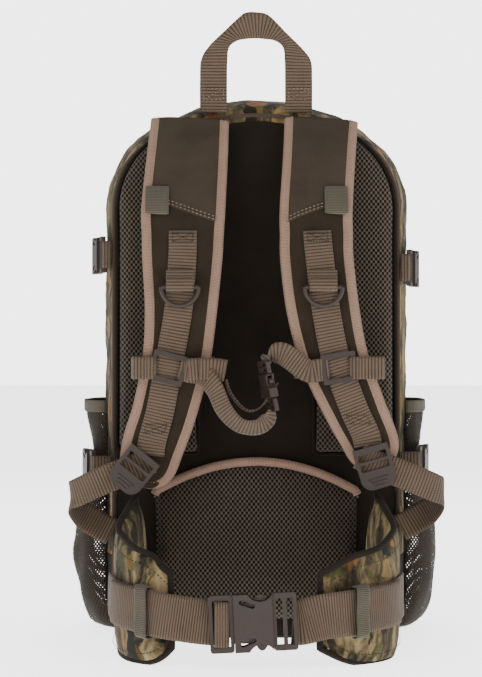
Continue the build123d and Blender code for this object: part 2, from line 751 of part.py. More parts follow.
def build_sternum():
    """The chest strap: two sliding adjusters, their wraps round the straps, webbing and buckle."""
    thick = 2.6
    frame_width = strap_webbing_width + 6.0
    frame_height = sternum_webbing_width + 7.0
    for side, sign in SIDES.items():
        plane = adjuster_plane(side)
        with BuildPart() as frame:
            with BuildSketch(plane):
                RectangleRounded(frame_width, frame_height, 1.5)
                Rectangle(frame_width - 7.0, frame_height - 9.0, mode=Mode.SUBTRACT)
            extrude(amount=thick / 2, both=True)
        save(frame, f"sternum_adjuster_{side}")

        middle, stand_off, width, _, strap_lean = strap_at(side, sternum_z)
        play = strap_lean * (sternum_travel + sternum_webbing_width / 2) + 1.6
        edge = Vector(middle + sign * (width / 2 + play), 0, 0)
        inner = Vector(middle - sign * (width / 2 + play), 0, 0)
        front_y_wrap = plane.origin.Y
        rear_y_wrap = board_y - stand_off + strap_thickness / 2 + 4.5
        outer_bar = plane.origin + plane.x_dir * (sign * (frame_width / 2 + 1.0))
        points = [
            outer_bar,
            outer_bar + plane.x_dir * sign * 2.5,
            Vector(edge.X - sign * 2.0, front_y_wrap + 1.0, outer_bar.Z + 1.0),
            Vector(edge.X + sign * 1.5, front_y_wrap + 7.0, outer_bar.Z),
            Vector(edge.X + sign * 1.5, rear_y_wrap - 5.0, sternum_z),
            Vector(edge.X - sign * 2.0, rear_y_wrap, sternum_z),
            Vector(inner.X, rear_y_wrap, sternum_z),
        ]
        hints = [plane.y_dir] * 2 + [UP] * (len(points) - 2)
        save(ribbon(points, sternum_webbing_width, webbing, hints), f"sternum_wrap_{side}")

    buckle = sternum_buckle()
    save(female_half(buckle), "sternum_socket")
    save(male_half(buckle, True), "sternum_plug")

    plane = adjuster_plane("right")
    start = plane.origin - plane.x_dir * (frame_width / 2 + 1.0)
    top = buckle.at(buckle.body + buckle.frame + 2.0)
    bar_way = buckle.plane.y_dir * -1
    points = [
        start,
        start - plane.x_dir * 3.0,
        Vector(start.X - 18.0, start.Y - 2.0, start.Z),
        Vector(top.X + 16.0, top.Y + 3.0, top.Z + 2.0),
        top + buckle.plane.x_dir * 8.0,
        top,
    ]
    hints = [plane.y_dir, plane.y_dir, UP, UP + bar_way * 0.8, bar_way, bar_way]
    save(ribbon(points, sternum_webbing_width, webbing, hints), "sternum_webbing_right")

    plane = adjuster_plane("left")
    start = plane.origin + plane.x_dir * (frame_width / 2 + 1.0)
    end = buckle.at(-buckle.frame - 2.0)
    points = [
        start,
        start + plane.x_dir * 3.0,
        Vector(start.X + 14.0, start.Y - 3.0, start.Z - 2.0),
        Vector(start.X + 25.0, start.Y - 9.0, start.Z - 14.0),
        Vector(start.X + 36.0, start.Y - 13.0, start.Z - 34.0),
        Vector(start.X + 52.0, start.Y - 14.0, start.Z - 44.0),
        Vector(end.X - 9.0, end.Y - 3.0, end.Z - 10.0),
        end - buckle.plane.x_dir * 4.0,
        end,
    ]
    turning = [UP + TOWARDS, UP * 0.4 + TOWARDS, UP + TOWARDS * 0.8, UP * 0.5 + bar_way]
    hints = [plane.y_dir, plane.y_dir, UP, *turning, bar_way, bar_way]
    save(ribbon(points, sternum_webbing_width, webbing, hints), "sternum_webbing_left")


# --- hip belt -------------------------------------------------------------------------------
def build_belt():
    """Padded hip wings, the belt webbing on them, its keepers and the waist buckle."""
    plane = Plane((belt_mouth_x, belt_y, belt_z), x_dir=(1, 0, 0.05), z_dir=TOWARDS)
    buckle = Buckle(plane, belt_webbing_width, belt_tongue_play)
    behind = webbing / 2 + 2 * clearance
    for side, sign in SIDES.items():
        heights = [s[3] for s in WINGS[side]]
        wing = ribbon(wing_points(side), heights, wing_thickness, UP, level=True)
        save(wing, f"hip_wing_{side}")

        places = [outside_of_wing(side, i, behind) for i in (2, 3, 4, 5)]
        levels = (52.0, 49.0, 46.0, 43.0)
        points = [Vector(p.X, p.Y, z) for p, z in zip(places, levels)]
        if side == "left":
            last = buckle.at(-buckle.frame / 2 - 6.0, 0, -buckle.thick / 2 - behind)
        else:
            last = buckle.at(buckle.body + buckle.frame / 2 + 5.0, 0, -buckle.thick / 2 - behind)
        points.append(last)
        strip = ribbon(points, belt_webbing_width, webbing, UP, level=True)
        save(strip, f"belt_webbing_{side}")

        place = outside_of_wing(side, 3, behind + webbing / 2 + clearance + 1.0)
        along = directions(wing_points(side), True)[3]
        ends = [place - along * 6.0, place + along * 6.0]
        points = [Vector(p.X, p.Y, levels[1]) for p in ends]
        keeper = ribbon(points, belt_webbing_width + 4.0, 1.2, UP, level=True)
        save(keeper, f"belt_keeper_{side}")

    save(female_half(buckle), "waist_socket")
    save(male_half(buckle, False), "waist_plug")
    for name, side in (("upper", 1), ("lower", -1)):
        save(buckle.arm_part(side), f"waist_button_{name}")
    bar_girth = math.hypot(buckle.bar, buckle.frame_thick)
    wrap = bar_loop(buckle.bar_plane(False), bar_girth, belt_webbing_width, 6.0)
    save(wrap, "belt_loop_left")


def main():
    """Builds and writes every piece."""
    os.makedirs("parts", exist_ok=True)
    build_bag()
    build_zip()
    build_front_pocket()
    build_back_pads()
    build_handle()
    build_side_pockets()
    build_straps()
    build_rings()
    build_ladderlocks()
    build_compression()
    build_sternum()
    build_belt()


main()
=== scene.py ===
"""Looks of a hunting backpack with a padded harness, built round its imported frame.

Lengths in the classes are millimetres in the frame's own axes, and meshes are made in metres.
"""

import json
import logging
import math
from dataclasses import dataclass, field
from enum import Enum
from functools import cached_property
from typing import Callable, Optional, Sequence

import bmesh
import bpy
import numpy as np
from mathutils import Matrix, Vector

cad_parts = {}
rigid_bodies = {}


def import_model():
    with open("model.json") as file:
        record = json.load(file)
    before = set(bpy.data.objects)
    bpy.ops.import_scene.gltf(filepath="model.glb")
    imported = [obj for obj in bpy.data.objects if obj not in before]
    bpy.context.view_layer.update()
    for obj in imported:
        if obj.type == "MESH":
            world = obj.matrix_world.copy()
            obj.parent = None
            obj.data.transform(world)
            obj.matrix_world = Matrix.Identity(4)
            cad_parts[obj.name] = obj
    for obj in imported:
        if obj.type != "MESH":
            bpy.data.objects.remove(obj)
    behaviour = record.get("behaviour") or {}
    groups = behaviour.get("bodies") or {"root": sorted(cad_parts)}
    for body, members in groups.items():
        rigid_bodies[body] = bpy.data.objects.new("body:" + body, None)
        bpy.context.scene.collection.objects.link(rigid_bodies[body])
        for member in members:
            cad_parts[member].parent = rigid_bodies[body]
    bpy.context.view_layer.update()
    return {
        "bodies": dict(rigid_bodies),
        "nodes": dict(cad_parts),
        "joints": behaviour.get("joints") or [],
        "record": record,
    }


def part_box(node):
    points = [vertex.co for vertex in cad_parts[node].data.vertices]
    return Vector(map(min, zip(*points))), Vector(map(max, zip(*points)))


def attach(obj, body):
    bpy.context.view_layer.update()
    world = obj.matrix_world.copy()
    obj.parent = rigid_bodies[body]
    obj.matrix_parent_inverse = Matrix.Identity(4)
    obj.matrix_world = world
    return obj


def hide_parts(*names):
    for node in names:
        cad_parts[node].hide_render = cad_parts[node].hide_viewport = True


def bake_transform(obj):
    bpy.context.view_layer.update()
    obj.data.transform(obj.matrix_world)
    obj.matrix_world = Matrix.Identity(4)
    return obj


MM = 0.001
UP = np.array([0.0, 0.0, 1.0])
AHEAD = np.array([0.0, 1.0, 0.0])  # out of the bag's front
TO_WEARER = np.array([0.0, -1.0, 0.0])
ACROSS = np.array([1.0, 0.0, 0.0])
RING_SPAN = 0.96  # share of a stuffed panel's outline that its rings cross
Colour = tuple[float, float, float]
log = logging.getLogger("backpack")


class Side(Enum):
    """Which side of the bag a piece is on, as seen from the harness."""

    LEFT = -1
    RIGHT = 1

    @property
    def word(self) -> str:
        """The side's name, as nodes use it."""
        return self.name.lower()


class Coordinates(Enum):
    """What a cloth pattern is laid out on: the piece's own strip, or the frame's upright face."""

    STRIP = "uv"
    FACE = "xz"


def corners(node: str) -> tuple[np.ndarray, np.ndarray]:
    """Lowest and highest corner of a node, in millimetres."""
    low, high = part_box(node)
    return np.array(low) / MM, np.array(high) / MM


# --- small vector work ----------------------------------------------------------------------
def unit(rows: np.ndarray) -> np.ndarray:
    """Scales each row to length 1.

    Args:
        rows: Vectors, one a row.
    Returns:
        The same directions, each of length 1.
    """
    return rows / np.maximum(np.linalg.norm(rows, axis=-1, keepdims=True), 1e-9)


def spline(rows: Sequence[Sequence[float]], spacing: float) -> np.ndarray:
    """Samples a smooth curve through the rows, whose first three columns are a place.

    Args:
        rows: Places, each with any further values that change along the curve.
        spacing: Distance between samples.
    Returns:
        The samples, with the same columns.
    """
    known = np.asarray(rows, float)
    known = np.vstack([2 * known[0] - known[1], known, 2 * known[-1] - known[-2]])
    found = []
    for a, b, c, d in zip(known[:-3], known[1:-2], known[2:-1], known[3:]):
        count = max(2, int(np.linalg.norm(c[:3] - b[:3]) / spacing))
        t = (np.arange(count) / count)[:, None]
        curve = 2 * b + (c - a) * t + (2 * a - 5 * b + 4 * c - d) * t**2
        found.append((curve + (3 * b - 3 * c + d - a) * t**3) / 2)
    found.append(known[-2:-1])
    return np.vstack(found)


def running(points: np.ndarray) -> np.ndarray:
    """Distance along a line of points, from its first point to each."""
    steps = np.linalg.norm(np.diff(points, axis=0), axis=1)
    return np.concatenate([[0.0], np.cumsum(steps)])


def even(points: np.ndarray, spacing: float) -> np.ndarray:
    """Samples a line of points again at even distances.

    Args:
        points: The line's points.
        spacing: Distance between samples.
    Returns:
        Evenly spaced points, both ends kept.
    """
    run = running(points)
    places = np.linspace(0, run[-1], max(2, int(run[-1] / spacing) + 1))
    return np.stack([np.interp(places, run, points[:, i]) for i in range(points.shape[1])], 1)


def ripple(points: np.ndarray, wave: float, seed: int) -> np.ndarray:
    """A smooth repeatable unevenness, about -1 to 1.

    Args:
        points: Places, in millimetres.
        wave: Its typical wavelength.
        seed: Chooses one of many patterns.
    Returns:
        One value for each place.
    """
    rng = np.random.default_rng(seed)
    total = np.zeros(points.shape[:-1])
    for _ in range(7):
        way = unit(rng.normal(size=3)) * (2 * math.pi / (wave * rng.uniform(0.7, 1.6)))
        total += np.sin(points @ way + rng.uniform(0, 6.28))
    return total / 3.2


# --- meshes ---------------------------------------------------------------------------------
def mesh_object(
    name: str,
    points: np.ndarray,
    faces: Sequence[Sequence[int]],
    strip: Optional[np.ndarray] = None,
    kinds: Optional[Sequence[int]] = None,
) -> bpy.types.Object:
    """Makes a smooth-shaded mesh object with its normals outward.

    Args:
        name: The piece's name.
        points: Its corners, in millimetres.
        faces: Corner numbers of each face.
        strip: Place of each corner on the piece's strip, in millimetres.
        kinds: Finish number of each face.
    Returns:
        The new object, linked to the scene.
    """
    data = bpy.data.meshes.new(name)
    data.from_pydata((np.asarray(points) * MM).tolist(), [], [list(f) for f in faces])
    if kinds is not None:
        data.polygons.foreach_set("material_index", np.asarray(kinds, np.int32))
    work = bmesh.new()
    work.from_mesh(data)
    bmesh.ops.recalc_face_normals(work, faces=work.faces)
    work.to_mesh(data)
    work.free()
    if strip is not None:
        corners = np.zeros(len(data.loops), np.int32)
        data.loops.foreach_get("vertex_index", corners)
        layer = data.uv_layers.new(name="strip")
        layer.data.foreach_set("uv", (np.asarray(strip)[corners] * MM).astype(np.float32).ravel())
    data.shade_smooth()
    piece = bpy.data.objects.new(name, data)
    bpy.context.scene.collection.objects.link(piece)
    return piece


def settle(piece: bpy.types.Object) -> bpy.types.Object:
    """Applies the piece's modifiers.

    Args:
        piece: A mesh object.
    Returns:
        The same object with its shaped mesh.
    """
    seen = piece.evaluated_get(bpy.context.evaluated_depsgraph_get())
    data = bpy.data.meshes.new_from_object(seen)
    piece.modifiers.clear()
    piece.data = data
    return piece


def thicken(piece: bpy.types.Object, depth: float) -> bpy.types.Object:
    """Gives an open surface a thickness behind its face.

    Args:
        piece: The surface.
        depth: The thickness.
    Returns:
        The same object, closed.
    """
    layer = piece.modifiers.new("thickness", "SOLIDIFY")
    layer.thickness = depth * MM
    layer.offset = -1
    return settle(piece)


def subdivide(piece: bpy.types.Object) -> bpy.types.Object:
    """Adds one level of smooth subdivision.

    Args:
        piece: A mesh object.
    Returns:
        The same object with a finer mesh.
    """
    layer = piece.modifiers.new("fine", "SUBSURF")
    layer.levels = layer.render_levels = 1
    return settle(piece)


def grid_faces(rows: int, columns: int, closed: bool) -> list[list[int]]:
    """The quads of a grid of corners.

    Args:
        rows: Rows of corners.
        columns: Corners in a row.
        closed: Whether each row joins its own start.
    Returns:
        Corner numbers of each quad.
    """
    across = columns if closed else columns - 1
    return [
        [i * columns + j, i * columns + (j + 1) % columns,
         (i + 1) * columns + (j + 1) % columns, (i + 1) * columns + j]
        for i in range(rows - 1)
        for j in range(across)
    ]  # fmt: skip


def laced(levels: np.ndarray, start: int) -> list[list[int]]:
    """Closes a thin upright ring of corners by lacing its two sides together.

    Args:
        levels: Height of each corner.
        start: Number of the ring's first corner.
    Returns:
        The faces across it.
    """
    count, foot = len(levels), int(np.argmin(levels))
    faces = []
    for k in range((count - 1) // 2 + 1):
        quad = [foot - k, foot - k - 1, foot + k + 1, foot + k]
        kept = list(dict.fromkeys(start + q % count for q in quad))
        if len(kept) > 2:
            faces.append(kept)
    return faces


def lie(path: np.ndarray, hints: np.ndarray) -> tuple[np.ndarray, np.ndarray, np.ndarray]:
    """Directions along a path, across a band on it, and out of its face.

    Args:
        path: The path's points.
        hints: Which way the band's width lies, one for all or one a point.
    Returns:
        Along, across and out, one row a point.
    """
    along = unit(np.gradient(path, axis=0))
    ways = np.broadcast_to(np.asarray(hints, float), path.shape)
    flat = unit(ways - along * np.sum(ways * along, axis=1, keepdims=True))
    return along, flat, np.cross(along, flat)


def both_edges(
    line: np.ndarray, flat: np.ndarray, face: np.ndarray, half: np.ndarray
) -> np.ndarray:
    """The line down one edge of a padded band, round its end and up the other edge.

    Args:
        line: The band's middle line.
        flat: The way across the band at each point.
        face: The way out of its face at each point.
        half: How far each edge is from the middle line.
    Returns:
        Evenly spaced rows of a place and the way out of the face.
    """
    places = np.vstack([line[:, :3] - flat * half, (line[:, :3] + flat * half)[::-1]])
    return even(np.hstack([places, np.vstack([face, face[::-1]])]), 2.5)


def sweep(
    name: str, path: np.ndarray, hints: np.ndarray, section: np.ndarray, closed: bool = False
) -> bpy.types.Object:
    """Carries a closed section along a path.

    Args:
        name: The piece's name.
        path: The path's points.
        hints: Which way the section's first axis lies.
        section: Points (across, out), one set or one a path point.
        closed: Whether the path joins its own start.
    Returns:
        The swept piece, with its strip in millimetres.
    """
    _, flat, face = lie(path, hints)
    section = np.broadcast_to(section, (len(path), *section.shape[-2:]))
    places = path[:, None] + flat[:, None] * section[..., :1] + face[:, None] * section[..., 1:]
    count = section.shape[1]
    run = running(path)
    strip = np.stack([section[..., 0], np.repeat(run[:, None], count, 1)], -1)
    faces = grid_faces(len(path), count, True)
    last = (len(path) - 1) * count
    if closed:
        faces += [[last + j, last + (j + 1) % count, (j + 1) % count, j] for j in range(count)]
    else:
        faces += [list(range(count)), [last + j for j in range(count)]]
    return mesh_object(name, places.reshape(-1, 3), faces, strip.reshape(-1, 2))


def band_section(width: float, thickness: float, bow: float = 0.0, across: int = 9) -> np.ndarray:
    """The closed section of flat webbing with soft edges.

    Args:
        width: Its width.
        thickness: Its thickness.
        bow: How far its middle stands proud of its edges.
        across: Points over its width.
    Returns:
        Points (across, out).
    """
    s = np.linspace(-1, 1, across)
    half = thickness / 2 * np.clip(1.12 - np.abs(s) ** 8, 0.45, 1.0)
    rise = bow * (1 - s**2)
    top = np.stack([s * width / 2, rise + half], 1)
    return np.vstack([top, np.stack([s * width / 2, rise - half], 1)[::-1]])


def round_section(radius: float, flatten: float = 1.0, count: int = 10) -> np.ndarray:
    """A round or flattened section.

    Args:
        radius: Its half width.
        flatten: Its height over its width.
        count: Points round it.
    Returns:
        Points (across, out).
    """
    turn = np.arange(count) * 2 * math.pi / count
    return np.stack([np.cos(turn) * radius, np.sin(turn) * radius * flatten], 1)


def stitches(
    name: str,
    path: np.ndarray,
    outward: np.ndarray,
    length: float = 2.4,
    gap: float = 1.3,
    thread: float = 0.45,
) -> bpy.types.Object:
    """A row of sewn stitches lying on a surface.

    Args:
        name: The row's name.
        path: Its line on the surface.
        outward: The way out of the surface, one for all or one a point.
        length: Length of a stitch.
        gap: Space between two.
        thread: The thread's half width.
    Returns:
        One object with every stitch in it.
    """
    ways = np.broadcast_to(np.asarray(outward, float), path.shape)
    line = even(np.hstack([path, ways]), length + gap)
    along = unit(np.gradient(line[:, :3], axis=0))
    out = unit(line[:, 3:])
    side = np.cross(along, out)
    points, faces = [], []
    for place, a, o, s in zip(line[:, :3], along, out, side):
        first = len(points)
        for share, fat in ((-0.5, 0.35), (-0.25, 1.0), (0.25, 1.0), (0.5, 0.35)):
            middle = place + a * share * length
            for p, q in ((1, 0), (0, 1), (-1, 0), (0, -0.6)):
                points.append(middle + (s * p + o * q) * thread * fat)
        faces += [[first + f for f in quad] for quad in grid_faces(4, 4, True)]
        faces += [[first, first + 1, first + 2, first + 3], [first + 12 + k for k in range(4)]]
    return mesh_object(name, np.array(points), faces)


def ring_panel(
    name: str,
    outline: np.ndarray,
    spine: tuple[float, float],
    height: Callable[[np.ndarray], np.ndarray],
    base: float,
    facing: int,
    rings: int = 13,
    lean: float = 0.0,
) -> bpy.types.Object:
    """A stuffed upright panel: rings of an outline drawn in towards an upright spine.

    Args:
        name: The piece's name.
        outline: Its outline, as X and Z.
        spine: Lowest and highest Z of the spine.
        height: Height of the face for each ring's size, 1 at the rim to 0 at the spine.
        base: Y of the flat back.
        facing: -1 towards the harness side, 1 towards the front.
        rings: How many rings the face has.
        lean: How much smaller the rim of the face is than its back.
    Returns:
        The closed panel.
    """
    middle = (outline[:, 0].min() + outline[:, 0].max()) / 2
    hub = np.stack([np.full(len(outline), middle), np.clip(outline[:, 1], *spine)], 1)
    sizes = 1 - RING_SPAN * np.linspace(0, 1, rings) ** 1.5
    rows = []
    for size in (*sizes[::-1][:-1], 1.0):
        flat = hub + (outline - hub) * size
        rows.append(np.insert(flat, 1, base, axis=1))
    back = len(rows)
    for size in sizes:
        flat = hub + (outline - hub) * size * (1 - lean)
        rows.append(np.insert(flat, 1, base + facing * height(size), axis=1))
    points = np.array(rows)
    count = len(outline)
    faces = grid_faces(back + len(sizes), count, True)
    for start in (0, (back + len(sizes) - 1) * count):
        faces += laced(outline[:, 1], start)
    return mesh_object(name, points.reshape(-1, 3), faces)


@dataclass(frozen=True)
class Puff:
    """Cloth simulation that stuffs a closed piece, with the swelling held to a limit."""

    pressure: float = 4.0
    limit: float = 5.0
    frames: int = 20

    def fill(self, piece: bpy.types.Object, floor: Optional[tuple[int, float, int]] = None) -> None:
        """Swells the piece and keeps the result in its mesh.

        Args:
            piece: A closed mesh.
            floor: An axis, a place on it in millimetres, and the side the piece stays on.
        """
        data = piece.data
        before = np.zeros(len(data.vertices) * 3, np.float32)
        data.vertices.foreach_get("co", before)
        cloth = piece.modifiers.new("stuffing", "CLOTH")
        cloth.settings.use_pressure = True
        cloth.settings.uniform_pressure_force = self.pressure
        cloth.settings.effector_weights.gravity = 0
        cloth.settings.quality = 5
        scene = bpy.context.scene
        for frame in range(1, self.frames + 1):
            scene.frame_set(frame)
        seen = piece.evaluated_get(bpy.context.evaluated_depsgraph_get())
        after = np.zeros_like(before)
        seen.data.vertices.foreach_get("co", after)
        piece.modifiers.clear()
        scene.frame_set(1)
        start, moved = before.reshape(-1, 3), (after - before).reshape(-1, 3)
        reach = np.linalg.norm(moved, axis=1, keepdims=True)
        moved = moved * np.minimum(1.0, self.limit * MM / np.maximum(reach, 1e-9))
        places = start + np.where(np.isfinite(moved), moved, 0)
        if floor:
            axis, place, keep = floor
            level = places[:, axis] * keep
            places[:, axis] = np.maximum(level, place * MM * keep) * keep
        data.vertices.foreach_set("co", places.astype(np.float32).ravel())
        data.update()


# --- finishes -------------------------------------------------------------------------------
class Graph:
    """Writes the shader nodes of one material."""

    def __init__(self, name: str) -> None:
        """Starts a material.

        Args:
            name: The material's name.
        """
        self.material = bpy.data.materials.new(name)
        self.material.use_nodes = True
        self.tree = self.material.node_tree
        self.shader = self.tree.nodes["Principled BSDF"]
        self.place = self.put("ShaderNodeTexCoord", {})

    def put(self, kind: str, inputs: dict, **settings: object) -> bpy.types.Node:
        """Adds a node.

        Args:
            kind: The node's type.
            inputs: Sockets or values for its inputs.
            settings: Its other settings.
        Returns:
            The node.
        """
        node = self.tree.nodes.new(kind)
        for key, item in settings.items():
            setattr(node, key, item)
        for key, item in inputs.items():
            if isinstance(item, bpy.types.NodeSocket):
                self.tree.links.new(item, node.inputs[key])
            else:
                node.inputs[key].default_value = item
        return node

    def math(self, kind: str, a: object, b: object = 0.0) -> bpy.types.NodeSocket:
        """The result of one operation on two values."""
        return self.put("ShaderNodeMath", {0: a, 1: b}, operation=kind).outputs[0]

    def stretched(self, vector: object, scale: Colour) -> bpy.types.NodeSocket:
        """A place with each of its axes scaled."""
        node = self.put("ShaderNodeVectorMath", {0: vector, 1: scale}, operation="MULTIPLY")
        return node.outputs[0]

    def noise(self, vector: object, scale: float, detail: float = 4.0) -> bpy.types.NodeSocket:
        """Cloudy noise from 0 to 1."""
        inputs = {"Vector": vector, "Scale": scale, "Detail": detail, "Roughness": 0.6}
        return self.put("ShaderNodeTexNoise", inputs).outputs[0]

    def ramp(self, value: object, stops: Sequence[tuple[float, Colour]]) -> bpy.types.NodeSocket:
        """A colour for each value.

        Args:
            value: What chooses the colour.
            stops: Values and their colours.
        Returns:
            The colour.
        """
        node = self.put("ShaderNodeValToRGB", {0: value})
        bar = node.color_ramp.elements
        while len(bar) < len(stops):
            bar.new(0.5)
        for part, (where, colour) in zip(bar, stops):
            part.position = where
            part.color = (*colour, 1)
        return node.outputs[0]

    def step(self, value: object, low: float, high: float) -> bpy.types.NodeSocket:
        """A value spread from 0 at low to 1 at high."""
        inputs = {"Value": value, "From Min": low, "From Max": high}
        return self.put("ShaderNodeMapRange", inputs, clamp=True).outputs[0]

    def blend(self, share: object, first: object, second: object) -> bpy.types.NodeSocket:
        """Mixes two colours.

        Args:
            share: How much of the second.
            first: A colour or its socket.
            second: The other.
        Returns:
            The mixed colour.
        """
        colours = [c if isinstance(c, bpy.types.NodeSocket) else (*c, 1) for c in (first, second)]
        inputs = {0: share, 6: colours[0], 7: colours[1]}
        return self.put("ShaderNodeMix", inputs, data_type="RGBA").outputs[2]

    def axes(self, coordinates: Coordinates) -> tuple[bpy.types.NodeSocket, bpy.types.NodeSocket]:
        """The two values that a pattern is laid out on, in metres.

        Args:
            coordinates: What the pattern is laid out on.
        Returns:
            Its first and second values.
        """
        if coordinates is Coordinates.STRIP:
            parts = self.put("ShaderNodeSeparateXYZ", {0: self.place.outputs["UV"]}).outputs
            return parts[0], parts[1]
        parts = self.put("ShaderNodeSeparateXYZ", {0: self.place.outputs["Object"]}).outputs
        return parts[0], parts[2]

    def finish(
        self, colour: object, roughness: object, height: object, depth: float,
        sheen: float = 0.0, gloss: float = 0.1,
    ) -> bpy.types.Material:
        """Joins the results to the shader.

        Args:
            colour: Base colour.
            roughness: Roughness.
            height: Height of the bump, 0 to 1.
            depth: What height 1 stands for, in metres.
            sheen: Strength of the cloth's sheen.
            gloss: Specular level.
        Returns:
            The material.
        """
        inputs = {"Height": height, "Distance": depth, "Strength": 0.9}
        normal = self.put("ShaderNodeBump", inputs).outputs[0]
        for key, item in (("Base Color", colour), ("Roughness", roughness), ("Normal", normal)):
            if isinstance(item, bpy.types.NodeSocket):
                self.tree.links.new(item, self.shader.inputs[key])
            else:
                self.shader.inputs[key].default_value = item
        self.shader.inputs["Sheen Weight"].default_value = sheen
        self.shader.inputs["Sheen Roughness"].default_value = 0.5
        self.shader.inputs["Specular IOR Level"].default_value = gloss
        return self.material


@dataclass(frozen=True)
class Finish:
    """What every finish has: a name, and the record's slot that it belongs to."""

    name: str
    slot: str

    def material(self) -> bpy.types.Material:
        """The finish's material, made once."""
        known = bpy.data.materials.get(self.name)
        return known or self.make(Graph(self.name))

    def make(self, graph: Graph) -> bpy.types.Material:
        """Writes the material's nodes."""
        raise NotImplementedError


@dataclass(frozen=True)
class Webbing(Finish):
    """Woven tape with ribs across it, which look like a basket weave close up."""

    light: Colour = (0.088, 0.061, 0.041)
    dark: Colour = (0.021, 0.0143, 0.0098)
    rib: float = 2.9
    cord: float = 2.3
    coordinates: Coordinates = Coordinates.STRIP

    def make(self, graph: Graph) -> bpy.types.Material:
        """Writes the weave: raised ribs that shift by half a cord from row to row."""
        across, along = graph.axes(self.coordinates)
        rows = graph.math("DIVIDE", along, self.rib * MM)
        shift = graph.math("MULTIPLY", graph.math("MODULO", graph.math("FLOOR", rows), 2.0), 0.5)
        columns = graph.math("ADD", graph.math("DIVIDE", across, self.cord * MM), shift)
        waves = [
            graph.math("ABSOLUTE", graph.math("SINE", graph.math("MULTIPLY", v, math.pi)))
            for v in (rows, columns)
        ]
        softer = graph.math("ADD", graph.math("MULTIPLY", waves[1], 0.45), 0.55)
        height = graph.math("MULTIPLY", waves[0], softer)
        place = graph.place.outputs["Object"]
        wear = graph.noise(place, 45.0)
        shade = graph.math("ADD", height, graph.math("MULTIPLY", wear, 0.5))
        colour = graph.ramp(shade, [(0.3, self.dark), (0.95, self.light)])
        fibre = graph.math("MULTIPLY", graph.noise(place, 2500.0, 1.0), 0.25)
        return graph.finish(colour, 0.82, graph.math("ADD", height, fibre), 0.0005, 0.1)


@dataclass(frozen=True)
class Twill(Finish):
    """Plain close cloth with a fine diagonal line and uneven fading."""

    light: Colour = (0.085, 0.068, 0.055)
    dark: Colour = (0.035, 0.028, 0.023)
    pitch: float = 1.5
    slant: float = 1.0
    grain: float = 0.5
    coordinates: Coordinates = Coordinates.FACE

    def make(self, graph: Graph) -> bpy.types.Material:
        """Writes the diagonal and the fading."""
        first, second = graph.axes(self.coordinates)
        line = graph.math("ADD", graph.math("MULTIPLY", first, self.slant), second)
        wave = graph.math("SINE", graph.math("MULTIPLY", line, 2 * math.pi / (self.pitch * MM)))
        height = graph.math("ADD", graph.math("MULTIPLY", wave, 0.5), 0.5)
        place = graph.place.outputs["Object"]
        fade = graph.noise(place, 22.0)
        yarn = graph.noise(place, 900.0, 2.0)
        shade = graph.math("ADD", graph.math("MULTIPLY", height, self.grain), fade)
        shade = graph.math("ADD", shade, graph.math("MULTIPLY", yarn, 0.35))
        colour = graph.ramp(shade, [(0.55, self.dark), (1.2 / 1.3, self.light)])
        bump = graph.math("ADD", height, yarn)
        return graph.finish(colour, 0.88, bump, 0.0003, 0.03)


@dataclass(frozen=True)
class HoleMesh(Finish):
    """Knitted mesh with staggered diamond holes, open or painted near-black with the shade inside
    them.
    """

    thread: Colour = (0.071, 0.053, 0.037)
    # near-black colour of closed holes: painted shade inside them
    hole: Colour = (0.002, 0.0016, 0.0012)
    pitch: float = 4.2
    edge: float = -0.02
    open_holes: bool = False
    coordinates: Coordinates = Coordinates.FACE

    def make(self, graph: Graph) -> bpy.types.Material:
        """Writes the holes, with painted shade in closed ones, and the rounded threads between
        them.
        """
        first, second = graph.axes(self.coordinates)
        waves = [
            graph.math("COSINE", graph.math("MULTIPLY", v, 2 * math.pi / (p * MM)))
            for v, p in ((first, self.pitch), (second, self.pitch * 1.25))
        ]
        knot = graph.math("MULTIPLY", *waves)
        place = graph.place.outputs["Object"]
        knot = graph.math("ADD", knot, graph.math("MULTIPLY", graph.noise(place, 700.0), 0.25))
        solid = graph.step(knot, self.edge + 0.3, self.edge)
        wear = graph.noise(place, 30.0)
        yarn = graph.blend(wear, tuple(c * 0.6 for c in self.thread), self.thread)
        # Closed holes take the near-black colour: painted shade inside the holes.
        colour = yarn if self.open_holes else graph.blend(solid, self.hole, yarn)
        material = graph.finish(colour, 0.85, solid, 0.0009, 0.06)
        if self.open_holes:
            graph.tree.links.new(solid, graph.shader.inputs["Alpha"])
        return material


